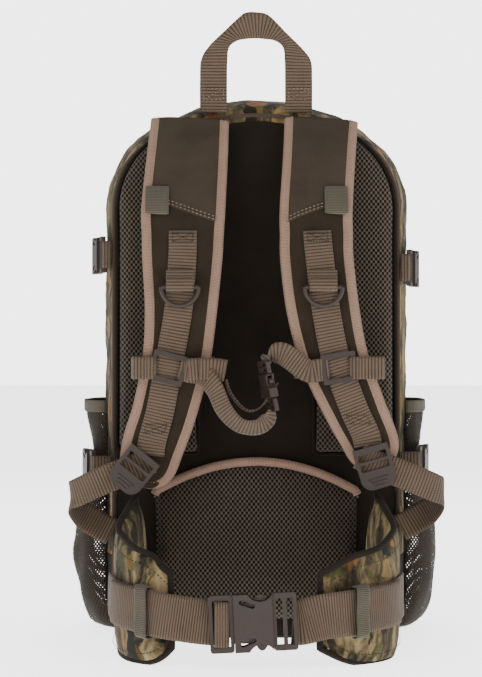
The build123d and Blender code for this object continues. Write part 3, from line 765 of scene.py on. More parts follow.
@dataclass(frozen=True)
class Camouflage(Finish):
    """Woodland print: upright bark, fallen leaves and dark gaps, on closely woven cloth."""

    def make(self, graph: Graph) -> bpy.types.Material:
        """Writes the bark, then the shadows, twigs and leaves over it."""
        place = graph.place.outputs["Object"]
        wander = graph.put("ShaderNodeTexNoise", {"Vector": place, "Scale": 30.0, "Detail": 3.0})
        offset = graph.put(
            "ShaderNodeVectorMath",
            {0: wander.outputs[1], 1: (0.5, 0.5, 0.5)},
            operation="SUBTRACT",
        ).outputs[0]
        bent = graph.put(
            "ShaderNodeVectorMath",
            {0: graph.stretched(offset, (0.03, 0.03, 0.03)), 1: place},
            operation="ADD",
        ).outputs[0]
        strands = graph.noise(graph.stretched(bent, (95.0, 95.0, 14.0)), 1.0, 7.0)
        bark = graph.ramp(
            strands,
            [(0.34, (0.006, 0.0045, 0.0025)), (0.44, (0.032, 0.024, 0.011)),
             (0.51, (0.085, 0.062, 0.03)), (0.6, (0.18, 0.131, 0.06)),
             (0.72, (0.275, 0.208, 0.105))],
        )  # fmt: skip
        shadows = graph.noise(graph.stretched(bent, (34.0, 34.0, 17.0)), 1.0, 3.0)
        base = graph.blend(graph.step(shadows, 0.56, 0.6), bark, (0.009, 0.0075, 0.0045))
        moss = graph.noise(graph.stretched(bent, (24.0, 24.0, 30.0)), 1.0, 4.0)
        moss = graph.math("MULTIPLY", graph.step(moss, 0.58, 0.64), 0.7)
        base = graph.blend(moss, base, (0.04, 0.046, 0.014))
        for scale, reach, tones in (
            (44.0, 0.34, ((0.2, 0.07, 0.016), (0.1, 0.04, 0.013), (0.17, 0.11, 0.045))),
            (62.0, 0.27, ((0.05, 0.055, 0.017), (0.24, 0.105, 0.028), (0.013, 0.011, 0.006))),
        ):
            inputs = {"Vector": graph.stretched(bent, (1.0, 1.0, 0.62)), "Scale": scale}
            leaf = graph.put("ShaderNodeTexVoronoi", inputs)
            shape = graph.step(leaf.outputs["Distance"], reach, reach - 0.06)
            pick = graph.put("ShaderNodeSeparateColor", {0: leaf.outputs["Color"]}).outputs
            few = graph.math("GREATER_THAN", pick[1], 0.52)
            tone = graph.ramp(pick[0], list(zip((0.2, 0.5, 0.8), tones)))
            vein = graph.step(leaf.outputs["Distance"], 0.02, 0.22)
            tone = graph.blend(vein, tuple(c * 0.45 for c in tones[1]), tone)
            base = graph.blend(graph.math("MULTIPLY", shape, few), base, tone)
        first, second = graph.axes(Coordinates.FACE)
        weave = graph.math(
            "MULTIPLY",
            *(graph.math("SINE", graph.math("MULTIPLY", v, 2 * math.pi / 0.0011))
              for v in (first, second)),
        )  # fmt: skip
        height = graph.math("ADD", weave, graph.noise(place, 120.0))
        return graph.finish(base, 0.85, height, 0.00025, 0.05)


@dataclass(frozen=True)
class Plastic(Finish):
    """Moulded plastic with a faint grain and dulled edges."""

    colour: Colour = (0.021, 0.0125, 0.0095)
    roughness: float = 0.5

    def make(self, graph: Graph) -> bpy.types.Material:
        """Writes the grain and a slight mottle."""
        place = graph.place.outputs["Object"]
        cloud = graph.noise(place, 60.0)
        dark = tuple(c * 0.78 for c in self.colour)
        colour = graph.blend(cloud, dark, tuple(c * 1.2 for c in self.colour))
        rough = graph.math("ADD", graph.math("MULTIPLY", cloud, 0.2), self.roughness - 0.1)
        return graph.finish(colour, rough, graph.noise(place, 1400.0, 2.0), 0.00008, 0.0, 0.3)


PACK = Camouflage("woodland_cloth", "pack_cloth")
BOOT = Twill(
    "boot_cloth", "pack_cloth", (0.014, 0.0105, 0.0075), (0.005, 0.0037, 0.0027), 1.2, 0.0
)
# Channel cloth: its very dark colour is partly the cloth's own and partly painted shade of the
# recessed air channel.
CHANNEL_PAINTED_SHADE = Twill(
    "channel_cloth", "harness_cloth", (0.01, 0.0068, 0.0042), (0.0025, 0.0016, 0.001), 1.9
)
STRAP = Twill(
    "strap_cloth", "harness_cloth", (0.021, 0.0145, 0.0085), (0.0065, 0.0045, 0.0028), 1.7
)
YOKE = Twill(
    "yoke_cloth", "harness_cloth", (0.038, 0.028, 0.0185), (0.017, 0.0125, 0.0085), 1.0, 0.0
)
BINDING = Webbing(
    "binding_tape", "harness_cloth", (0.235, 0.148, 0.105), (0.115, 0.069, 0.048), 1.3, 9.0
)
PIPING = Webbing("piping", "harness_cloth", (0.05, 0.033, 0.023), (0.02, 0.013, 0.009), 1.2, 5.0)
TAPE = Webbing("woven_tape", "webbing")
WIDE_TAPE = Webbing("woven_belt", "webbing", rib=2.2, cord=1.9)
ELASTIC = Webbing(
    "elastic_tape", "elastic", (0.072, 0.062, 0.044), (0.028, 0.024, 0.0165), 1.5, 3.1
)
# Both pad meshes have closed holes, painted near-black as the shade inside them.
PAD_MESH = HoleMesh("padding_mesh", "spacer_mesh")
WING_MESH = HoleMesh("wing_mesh", "spacer_mesh", coordinates=Coordinates.STRIP)
NET = HoleMesh("open_net", "net_mesh", (0.03, 0.0235, 0.0165), open_holes=True, pitch=3.4,
               edge=0.4, coordinates=Coordinates.STRIP)  # fmt: skip
BUCKLE = Plastic("moulded_brown", "buckle_plastic")
RING = Plastic("moulded_bronze", "ring_plastic", (0.01, 0.0065, 0.0045), 0.36)
THREAD = Twill("thread", "harness_cloth", (0.22, 0.16, 0.12), (0.12, 0.085, 0.06), 0.8)
DARK_THREAD = Twill("dark_thread", "pack_cloth", (0.03, 0.024, 0.018), (0.015, 0.011, 0.008), 0.8)
COIL = Plastic("zip_coil", "zip_chain", (0.015, 0.011, 0.009), 0.5)
ZIP_METAL = Plastic("zip_metal", "zip_metal", (0.05, 0.036, 0.027), 0.3)
SHEET = Plastic("frame_sheet_plastic", "stiffener", (0.02, 0.02, 0.02), 0.6)


def place(
    piece: bpy.types.Object,
    body: str,
    finish: Finish | Sequence[Finish],
    stands_for: Sequence[str] = (),
    slot: Optional[str] = None,
) -> bpy.types.Object:
    """Gives a piece its finish, its body and the nodes that it stands for.

    Args:
        piece: The finished mesh.
        body: The body it moves with.
        finish: Its finish, or one for each finish number.
        stands_for: The nodes it replaces.
        slot: The record's slot, if it isn't its finish's; not used.
    Returns:
        The piece.
    """
    finishes = [finish] if isinstance(finish, Finish) else list(finish)
    piece.data.materials.clear()
    for one in finishes:
        piece.data.materials.append(one.material())
    if body:
        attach(piece, body)
    if stands_for:
        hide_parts(*stands_for)
    log.info("%s rides on %s", piece.name, body or "two bodies")
    return piece


# --- the bag --------------------------------------------------------------------------------
@dataclass
class Bag:
    """The bag's skin in three panels, its piping, its zip and the cloth over its back board."""

    half_width: float = 143.0
    height: float = 500.0
    crown_radius: float = 190.0
    shoulder_radius: float = 95.0
    base_radius: float = 40.0
    back_y: float = -95.0
    seam_y: float = 35.0
    front_y: float = 70.0
    boot_height: float = 75.0
    wall: float = 3.0
    board: float = 6.0
    crown_drop: float = 8.5
    shoulder_z: float = 430.0
    cover_inset: float = 13.4
    slit: float = 0.4
    fold_y: float = 23.0
    hinge_start: tuple = (0.0, 0.0765, 0.0755)
    hinge_end: tuple = (0.0, 0.0689, 0.0849)
    # depth, how much narrower the bag is there, and how much its cloth wrinkles there
    profile: tuple = (
        (-99.6, 34.0, 0.1), (-99.8, 20.0, 0.3), (-97.0, 13.0, 0.3), (-88.0, 8.6, 0.6),
        (-62.0, 2.6, 1.0), (-30.0, 0.0, 1.0), (5.0, 0.2, 0.9), (24.0, 2.2, 0.4),
        (35.0, 4.0, 0.0), (44.0, 4.6, 0.4), (56.0, 7.6, 0.7), (65.0, 12.4, 0.5),
        (70.0, 19.0, 0.3),
    )  # fmt: skip

    def outline(self, inset: float) -> np.ndarray:
        """The arched outline, drawn in by inset, as evenly matched points.

        Args:
            inset: How much narrower it is than the widest outline.
        Returns:
            X and Z, anticlockwise from the middle of the base, without a repeat.
        """
        side = self.half_width - self.shoulder_radius
        reach = self.crown_radius - self.shoulder_radius
        rise = math.sqrt(reach**2 - side**2)
        lean = math.atan2(side, rise)
        crown = self.height - self.crown_radius
        half, corner = self.half_width - inset, self.base_radius
        turn = math.degrees(lean)
        shoulder, crown_arc = self.shoulder_radius - inset, self.crown_radius - inset
        arcs = [
            (half - corner, corner, corner, -90.0, 0.0, 14),
            (side, crown + rise, shoulder, 0.0, 90 - turn, 21),
            (0.0, crown, crown_arc, 90 - turn, 90 + turn, 41),
            (-side, crown + rise, shoulder, 90 + turn, 180.0, 21),
            (corner - half, corner, corner, 180.0, 270.0, 14),
        ]
        straight = (22, 64, 0, 0, 64)
        line = [np.array([[0.0, 0.0]])]
        for (x, z, radius, start, end, count), before in zip(arcs, straight):
            angle = np.radians(np.linspace(start, end, count))
            arc = np.stack([x + radius * np.cos(angle), z + radius * np.sin(angle)], 1)
            if before:
                share = np.linspace(0, 1, before + 1)[1:-1, None]
                line.append(line[-1][-1] + (arc[0] - line[-1][-1]) * share)
                line.append(arc)
            else:
                line.append(arc[1:])
        share = np.linspace(0, 1, 23)[1:-1, None]
        line.append(line[-1][-1] * (1 - share))
        return np.vstack(line)

    def skin(self) -> bpy.types.Object:
        """The whole skin as one open surface, before it is cut into panels.

        Returns:
            A surface open at the back.
        """
        rows = spline([(y, inset, 0.0, loose) for y, inset, loose in self.profile], 5.0)
        loops, loose = [], []
        for y, inset, _, slack in rows:
            loops.append(np.insert(self.outline(inset), 1, y, axis=1))
            loose.append(slack)
        rim = loops[-1]
        hub = np.stack([np.zeros(len(rim)), np.clip(rim[:, 2], 130.0, 360.0)], 1)
        for share in np.linspace(1, 0.04, 28)[1:]:
            flat = hub + (rim[:, [0, 2]] - hub) * share
            bulge = self.front_y + 5.0 * (1 - share**2.2)
            loops.append(np.insert(flat, 1, bulge, axis=1))
            loose.append(0.35)
        points = np.array(loops)
        slack = np.array(loose)[:, None]
        out = unit(points - np.array([0.0, -30.0, 250.0]))
        folds = ripple(points * np.array([1.0, 0.5, 1.0]), 46.0, 5) * 1.5
        folds += ripple(points * np.array([0.6, 1.6, 1.8]), 17.0, 11) * 0.55
        points += out * (folds * slack)[..., None]
        points[..., 2] = np.maximum(points[..., 2], self.wall)
        count = points.shape[1]
        faces = grid_faces(len(points), count, True)
        faces.append([(len(points) - 1) * count + j for j in range(count)])
        return mesh_object("skin", points.reshape(-1, 3), faces)

    def panel(self, name: str, cuts: Sequence[tuple[float, int, int]]) -> bpy.types.Object:
        """One panel of the skin.

        Args:
            name: The panel's name.
            cuts: For each cut its place, its axis, and the side kept.
        Returns:
            The panel with its padding's thickness.
        """
        whole = self.skin()
        work = bmesh.new()
        work.from_mesh(whole.data)
        for level, axis, keep in cuts:
            middle, normal = [0.0] * 3, [0.0] * 3
            middle[axis], normal[axis] = level * MM, float(keep)
            bmesh.ops.bisect_plane(
                work, geom=[*work.verts, *work.edges, *work.faces], dist=1e-6,
                plane_co=middle, plane_no=normal, clear_inner=True,
            )  # fmt: skip
        whole.name = name
        work.to_mesh(whole.data)
        work.free()
        return thicken(whole, self.wall)

    def edge_tape(self, name: str, inset: float, y: float, radius: float) -> bpy.types.Object:
        """Piping round the outline.

        Args:
            name: The piece's name.
            inset: Where it runs.
            y: Its depth.
            radius: Its half width.
        Returns:
            A closed tube.
        """
        path = np.insert(self.lowered(inset), 1, y, axis=1)
        return sweep(name, path, AHEAD, round_section(radius), closed=True)

    def arch(self, inset: float, y: float, spacing: float) -> np.ndarray:
        """The outline above the boot, as a line from the right side over the top.

        Args:
            inset: Where it runs.
            y: Its depth.
            spacing: Distance between its points.
        Returns:
            Evenly spaced places.
        """
        line = self.outline(inset)
        line = line[line[:, 1] > self.boot_height + 3.0]
        return even(np.insert(line, 1, y, axis=1), spacing)

    def zip_teeth(self, name: str, y: float, sign: int) -> bpy.types.Object:
        """One side's teeth of the main zip.

        Args:
            name: The piece's name.
            y: Depth of the zip's middle.
            sign: 1 for the front side's teeth, -1 for the rear's.
        Returns:
            All the teeth as one object.
        """
        line = self.arch(4.0 - 2.3, y + sign * 1.2, 2.4)
        if sign > 0:
            line = (line[1:] + line[:-1]) / 2
        way = np.cross(np.gradient(line, axis=0), [0.0, 1.0, 0.0])
        return stitches(name, line, way, length=1.5, gap=0.9, thread=0.95)

    def lowered(self, inset: float) -> np.ndarray:
        """The outline with its crown drawn down, as the back board's cloth has it.

        Args:
            inset: How much narrower it is than the widest outline.
        Returns:
            X and Z, as outline gives them.
        """
        rim = self.outline(inset)
        span = self.height - inset - self.shoulder_z
        rise = np.clip((rim[:, 1] - self.shoulder_z) / span, 0, 1)
        rim[:, 1] -= self.crown_drop * rise**2 * (3 - 2 * rise)
        return rim

    def back_cover(self) -> bpy.types.Object:
        """The cloth over the back board, with its rounded rim, dark partly with painted shade of
        the recessed channel.
        """

        def rounded(size: np.ndarray) -> np.ndarray:
            """Height of the face, flat up to a tight rounding at its rim."""
            return self.board * (1 - size**26) ** 0.4

        rim = self.lowered(self.cover_inset)
        return ring_panel("back_cover", rim, (110.0, 350.0), rounded, self.back_y, -1, rings=16)

    def build(self) -> None:
        """Builds and dresses the bag."""
        boot_top, seam, slit = self.boot_height, self.seam_y, self.slit
        gusset = self.panel("rear_gusset", [(boot_top, 2, 1), (seam - slit, 1, -1)])
        place(gusset, "bag", PACK, ["main_gusset"])
        place(self.panel("boot", [(boot_top, 2, -1)]), "bag", BOOT, ["base_boot"])
        lid = self.panel("front_flap", [(boot_top + 2 * slit, 2, 1), (seam + slit, 1, 1)])
        place(lid, "", PACK, ["front_panel"])
        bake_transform(lid)
        # The back cover's dark cloth carries painted shade of the recessed channel.
        place(self.back_cover(), "bag", CHANNEL_PAINTED_SHADE, ["back_board"])
        place(self.edge_tape("back_piping", 12.6, -99.6, 1.9), "bag", PIPING)
        for name, body, sign in (("rear", "bag", -1), ("front", "lid", 1)):
            teeth = self.zip_teeth(f"zip_teeth_{name}", seam, sign)
            place(teeth, body, COIL)
            edge = self.arch(1.5, seam + sign * 6.2, 5.0)
            tape = sweep(
                f"zip_tape_{name}", edge, AHEAD, band_section(5.0, 1.3)
            )
            place(tape, body, BOOT, [f"main_zip_{name}"], slot="zip_chain")
        row = self.arch(0.0, self.fold_y, 4.0)
        row = row + unit(row - np.array([0.0, -12.0, 250.0])) * 0.4
        place(stitches("gusset_seam", row, unit(row)), "bag", DARK_THREAD)
        fold = self.arch(-1.6, self.fold_y, 5.0)
        flap = sweep("zip_flap", fold, np.array([0.0, 1.0, -0.1]), band_section(16.0, 1.6, 1.2))
        place(flap, "bag", PACK)


# --- the front pockets ----------------------------------------------------------------------
@dataclass
class FrontPockets:
    """The two stuffed pockets on the fold-down flap, with the lower one's zip."""

    front_y: float = 70.0
    pocket_half: float = 94.4
    pocket_z: tuple = (91.0, 310.0)
    pocket_depth: float = 25.0
    pocket_corner: float = 34.0
    small_half: float = 74.3
    small_z: tuple = (322.0, 410.0)
    small_depth: float = 14.6
    small_corner: float = 26.0
    piping: float = 1.7
    zip_z: float = 266.0
    zip_half: float = 77.2
    zip_width: float = 13.0
    zip_lift: float = 26.0
    tooth_step: float = 2.4

    @staticmethod
    def rim(half: float, levels: tuple, corner: float) -> np.ndarray:
        """A pocket's outline.

        Args:
            half: Its half width.
            levels: Its lowest and highest Z.
            corner: Its corner radius.
        Returns:
            X and Z, evenly spaced.
        """
        low, high = levels
        quarters = []
        for sx, sz, start in ((1, -1, -90), (1, 1, 0), (-1, 1, 90), (-1, -1, 180)):
            angle = np.linspace(0, math.pi / 2, 8) + math.radians(start)
            x = sx * (half - corner) + corner * np.cos(angle)
            z = (low + high) / 2 + sz * ((high - low) / 2 - corner) + corner * np.sin(angle)
            quarters.append(np.stack([x, z], 1))
        loop = np.vstack(quarters)
        return even(np.vstack([loop, loop[:1]]), 5.0)[:-1]

    def cover(
        self, name: str, half: float, levels: tuple, depth: float, corner: float
    ) -> bpy.types.Object:
        """One stuffed pocket.

        Args:
            name: The pocket's name.
            half: Its half width.
            levels: Its lowest and highest Z.
            depth: How far it stands out.
            corner: Its corner radius.
        Returns:
            The pocket's closed cover.
        """
        loop = self.rim(half, levels, corner)
        low, high = levels
        piece = ring_panel(
            name, loop, (low + half, high - half) if high - low > 2 * half else
            ((low + high) / 2 - 5, (low + high) / 2 + 5),
            lambda r: (depth - 5.0) * (1 - r**5) ** 0.45 + 1.5, self.front_y + 1.0, 1, lean=0.02,
        )  # fmt: skip
        Puff(limit=5.0).fill(piece, (1, self.front_y + 0.6, 1))
        data = piece.data
        places = np.array([v.co for v in data.vertices]) / MM
        sag = np.clip((places[:, 1] - self.front_y) / depth, 0, 1)
        places[:, 1] += sag * (ripple(places, 60.0, 21) * 1.1 - 0.4)
        data.vertices.foreach_set("co", (places * MM).astype(np.float32).ravel())
        return subdivide(piece)

    def build(self) -> None:
        """Builds and dresses both pockets."""
        large = self.cover(
            "lower_pocket", self.pocket_half, self.pocket_z, self.pocket_depth, self.pocket_corner
        )
        place(large, "lid", PACK, ["front_pocket"])
        small = self.cover(
            "small_pocket", self.small_half, self.small_z, self.small_depth, self.small_corner
        )
        place(small, "lid", PACK, ["upper_pocket"])
        for name, half, levels, corner in (
            ("lower", self.pocket_half, self.pocket_z, self.pocket_corner),
            ("small", self.small_half, self.small_z, self.small_corner),
        ):
            loop = np.insert(self.rim(half - 1.0, levels, corner), 1, self.front_y + 5.5, axis=1)
            section = round_section(self.piping)
            cord = sweep(f"{name}_pocket_piping", loop, AHEAD, section, closed=True)
            place(cord, "lid", PIPING)
        y = self.front_y + self.zip_lift
        across = np.linspace(-self.zip_half, self.zip_half, 40)
        line = np.stack([across, np.full(40, y + 1.0), np.full(40, self.zip_z)], 1)
        tape = sweep("pocket_zip_tape", line, UP, band_section(self.zip_width, 1.6))
        place(tape, "lid", BOOT, ["pocket_zip"], slot="zip_chain")
        for sign in (-1, 1):
            run = even(line + np.array([0.0, 0.9, sign * 1.1]), self.tooth_step)
            run = run + np.array([0.6 * sign, 0.0, 0.0])
            teeth = stitches(f"pocket_teeth_{sign + 1}", run, AHEAD, 1.5, 0.9, 0.8)
            place(teeth, "lid", COIL)


# --- the padded back ------------------------------------------------------------------------
@dataclass
class BackPads:
    """Two mesh pads beside the air channel, and the lumbar pad with its bound arch."""

    bag: Bag
    board_y: float = -101.0
    low: float = 168.0
    high: float = 474.0
    channel_half: float = 52.0
    thickness: float = 11.0
    lumbar_half: float = 95.0
    lumbar_low: float = 14.0
    lumbar_spring: float = 134.0
    lumbar_top: float = 164.0
    lumbar_thickness: float = 15.0
    piping: float = 1.7
    piping_lift: float = 1.2
    binding: float = 5.4
    binding_lift: float = 6.5

    def pad_outline(self, side: Side) -> np.ndarray:
        """The outline of one back pad.

        Args:
            side: Which pad.
        Returns:
            X and Z, evenly spaced.
        """
        rim = self.bag.outline(15.4)
        inner = self.channel_half + 1
        rim = rim[(rim[:, 0] > inner + 4) & (rim[:, 1] > self.low + 4) & (rim[:, 1] < self.high)]
        corners = [(inner, rim[-1, 1] - 4), (inner, self.low), (rim[0, 0] - 3, self.low)]
        loop = np.vstack([rim, corners, rim[:1]])
        loop = even(loop, 5.0)[:-1]
        loop[:, 0] *= side.value
        return loop if side is Side.RIGHT else loop[::-1]

    def lumbar_outline(self, inset: float = 0.0) -> np.ndarray:
        """The lumbar pad's outline: a rectangle with an arched top.

        Args:
            inset: How much it is drawn in.
        Returns:
            X and Z, evenly spaced, starting at the foot of the right side.
        """
        half = self.lumbar_half - inset
        across = np.linspace(half, -half, 60)
        top = self.lumbar_top - inset
        rise = (top - self.lumbar_spring) * (1 - (across / half) ** 2)
        arch = np.stack([across, self.lumbar_spring + rise], 1)
        low = self.lumbar_low + inset
        loop = np.vstack([[(half, low)], arch, [(-half, low)], [(half, low)]])
        return even(loop, 5.0)[:-1]

    def build(self) -> None:
        """Builds and dresses the pads."""
        for side in Side:
            loop = self.pad_outline(side)
            pad = ring_panel(
                f"mesh_pad_{side.word}", loop, (self.low + 38, self.high - 84),
                lambda r: (self.thickness - 2) * (1 - r**9) ** 0.5, self.board_y, -1, lean=0.01,
            )  # fmt: skip
            Puff(limit=2.5).fill(pad, (1, self.board_y, -1))
            subdivide(pad)
            place(pad, "bag", PAD_MESH, [f"back_pad_{side.word}"])
            rim = np.vstack([loop, loop[:1]])
            path = np.insert(rim, 1, self.board_y - self.piping_lift, axis=1)
            section = round_section(self.piping)
            cord = sweep(f"pad_piping_{side.word}", even(path, 4.0), AHEAD, section)
            # The pad piping wears the channel cloth, with its painted shade.
            place(cord, "bag", CHANNEL_PAINTED_SHADE)
        loop = self.lumbar_outline()
        lumbar = ring_panel(
            "lumbar_cushion", loop, (75.0, 80.0),
            lambda r: (self.lumbar_thickness - 3) * (1 - r**6) ** 0.5, self.board_y, -1, lean=0.03,
        )  # fmt: skip
        Puff(limit=3.0).fill(lumbar, (1, self.board_y, -1))
        subdivide(lumbar)
        place(lumbar, "bag", PAD_MESH, ["lumbar_pad"])
        arch = self.lumbar_outline(2.5)
        arch = arch[arch[:, 1] > self.lumbar_spring - 3.0]
        path = spline(np.insert(arch, 1, self.board_y - self.binding_lift, axis=1), 3.0)
        trim = sweep("lumbar_binding", path, AHEAD * 0.5, round_section(self.binding, 0.75, 14))
        place(trim, "bag", BINDING)
        row = path + np.array([0.0, -4.4, -1.6])
        place(stitches("lumbar_stitches", row, np.array([0, -1.0, 0.3])), "bag", THREAD)


# --- the haul loop --------------------------------------------------------------------------
@dataclass
class HaulLoop:
    """The flat webbing arch that the bag is lifted by."""

    y: float = -101.8
    low: float = 481.0
    outer: tuple = (
        (-51.5, 0.0), (-51.5, 30.0), (-50.5, 48.0), (-44.0, 60.0), (-30.0, 74.0), (-15.0, 88.0),
        (-9.0, 92.0), (2.0, 92.0), (12.0, 89.0), (28.0, 73.0), (43.0, 58.0), (50.5, 47.0),
        (51.5, 30.0), (51.5, 0.0),
    )  # fmt: skip
    inner: tuple = (
        (-26.5, 0.0), (-26.5, 30.0), (-26.2, 48.0), (-24.6, 60.0), (-17.0, 66.0), (-8.0, 67.6),
        (-4.0, 68.0), (2.0, 68.0), (6.0, 67.6), (17.0, 66.0), (24.6, 60.0), (26.2, 48.0),
        (26.5, 30.0), (26.5, 0.0),
    )  # fmt: skip

    def build(self) -> None:
        """Builds and dresses the loop."""
        rows = spline([(*o, *i) for o, i in zip(self.outer, self.inner)], 3.0)
        s = np.linspace(0, 1, 11)[:, None]
        half = 0.8 * np.clip(1.12 - np.abs(2 * s - 1) ** 8, 0.45, 1.0)
        points, strip = [], []
        middle = (rows[:, :2] + rows[:, 2:]) / 2
        run = running(middle)
        for row, length in zip(rows, run):
            flat = row[2:] * s + row[:2] * (1 - s)
            wave = 0.9 * math.sin(length / 21.0) * np.sin(np.pi * s)
            front = np.hstack([flat[:, :1], self.y + wave - half, flat[:, 1:] + self.low])
            back = np.hstack([flat[:, :1], self.y + wave + half, flat[:, 1:] + self.low])
            points.append(np.vstack([front, back[::-1]]))
            across = s * 25.0
            strip.append(np.vstack([across, across[::-1]]))
        count = len(points[0])
        lengths = np.repeat(run[:, None], count, 1)
        places = np.array(points).reshape(-1, 3)
        faces = grid_faces(len(rows), count, True)
        faces += [list(range(count)), [len(places) - count + j for j in range(count)]]
        cloth = np.stack([np.array(strip)[..., 0], lengths], -1).reshape(-1, 2)
        loop = mesh_object("haul_loop", places, faces, cloth)
        place(loop, "handle", TAPE, ["haul_handle"])
        for side in Side:
            x = side.value * 39.0
            corners = [(x - 9, 12), (x + 9, 12), (x + 9, 22), (x - 9, 22), (x - 9, 12), (x + 9, 22)]
            line = np.array([(a, self.y - 1.1, self.low + b) for a, b in corners])
            sewn = stitches(f"haul_bartack_{side.word}", even(line, 1.0), TO_WEARER)
            place(sewn, "handle", THREAD)


# --- the side pockets -----------------------------------------------------------------------
@dataclass
class NetPocket:
    """The stretchy net pocket on one side, with its elastic hem."""

    side: Side
    rear: float = -79.0
    ahead: float = 25.0
    seat: float = 139.0
    corner: float = 40.0
    cloth_columns: int = 9
    flat_height: float = 208.0
    # height, and how far the net stands out from the bag's middle there
    levels: tuple = (
        (4, 118), (4.5, 140), (9, 158), (40, 169), (85, 173), (120, 165), (152, 154),
        (190, 159), (214, 162),
    )  # fmt: skip

    def surface(self) -> np.ndarray:
        """Places on the net, by height and by turn round the side."""
        rows = spline([(z, bulge, 0.0) for z, bulge in self.levels], 5.0)
        turn = np.linspace(0, math.pi, 40)
        middle, half = (self.rear + self.ahead) / 2, (self.ahead - self.rear) / 2
        points = []
        for z, bulge, _ in rows:
            seat = self.seat
            if z < self.corner:
                seat += math.sqrt(self.corner**2 - (self.corner - z) ** 2) - self.corner
            reach = max(bulge, seat + 1.0)
            x = seat + (reach - seat) * np.sin(turn) ** 0.8
            y = middle - half * np.cos(turn)
            points.append(np.stack([x * self.side.value, y, np.full(40, z)], 1))
        grid = np.array(points)
        loose = np.sin(turn) ** 0.6
        folds = ripple(grid * np.array([1, 1.8, 0.8]), 34.0, 31 + self.side.value)
        grid[..., 0] += self.side.value * (folds * 1.6 - 0.8) * loose
        return grid

    def build(self) -> None:
        """Builds and dresses the net and its hem."""
        grid = self.surface()
        rows, columns = grid.shape[:2]
        step = np.linalg.norm(np.diff(grid, axis=1), axis=2)
        across = np.concatenate([np.zeros((rows, 1)), np.cumsum(step, axis=1)], 1)
        strip = np.stack([across, grid[..., 2]], -1).reshape(-1, 2)
        name = f"net_{self.side.word}"
        kinds = [int(j < self.cloth_columns) for _ in range(rows - 1) for j in range(columns - 1)]
        net = mesh_object(
            name, grid.reshape(-1, 3), grid_faces(rows, columns, False), strip, kinds
        )
        thicken(net, 0.7)
        place(net, "bag", [NET, BOOT], [f"side_pocket_{self.side.word}"])
        hem = sweep(
            f"net_hem_{self.side.word}", even(grid[-1] - UP * 3.0, 3.0), UP, band_section(11, 2.0)
        )
        place(hem, "bag", ELASTIC, slot="net_mesh")
        edge = sweep(
            f"net_foot_{self.side.word}", even(grid[0] + UP * 3.0, 3.0), UP, band_section(8, 1.8)
        )
        place(edge, "bag", BOOT)


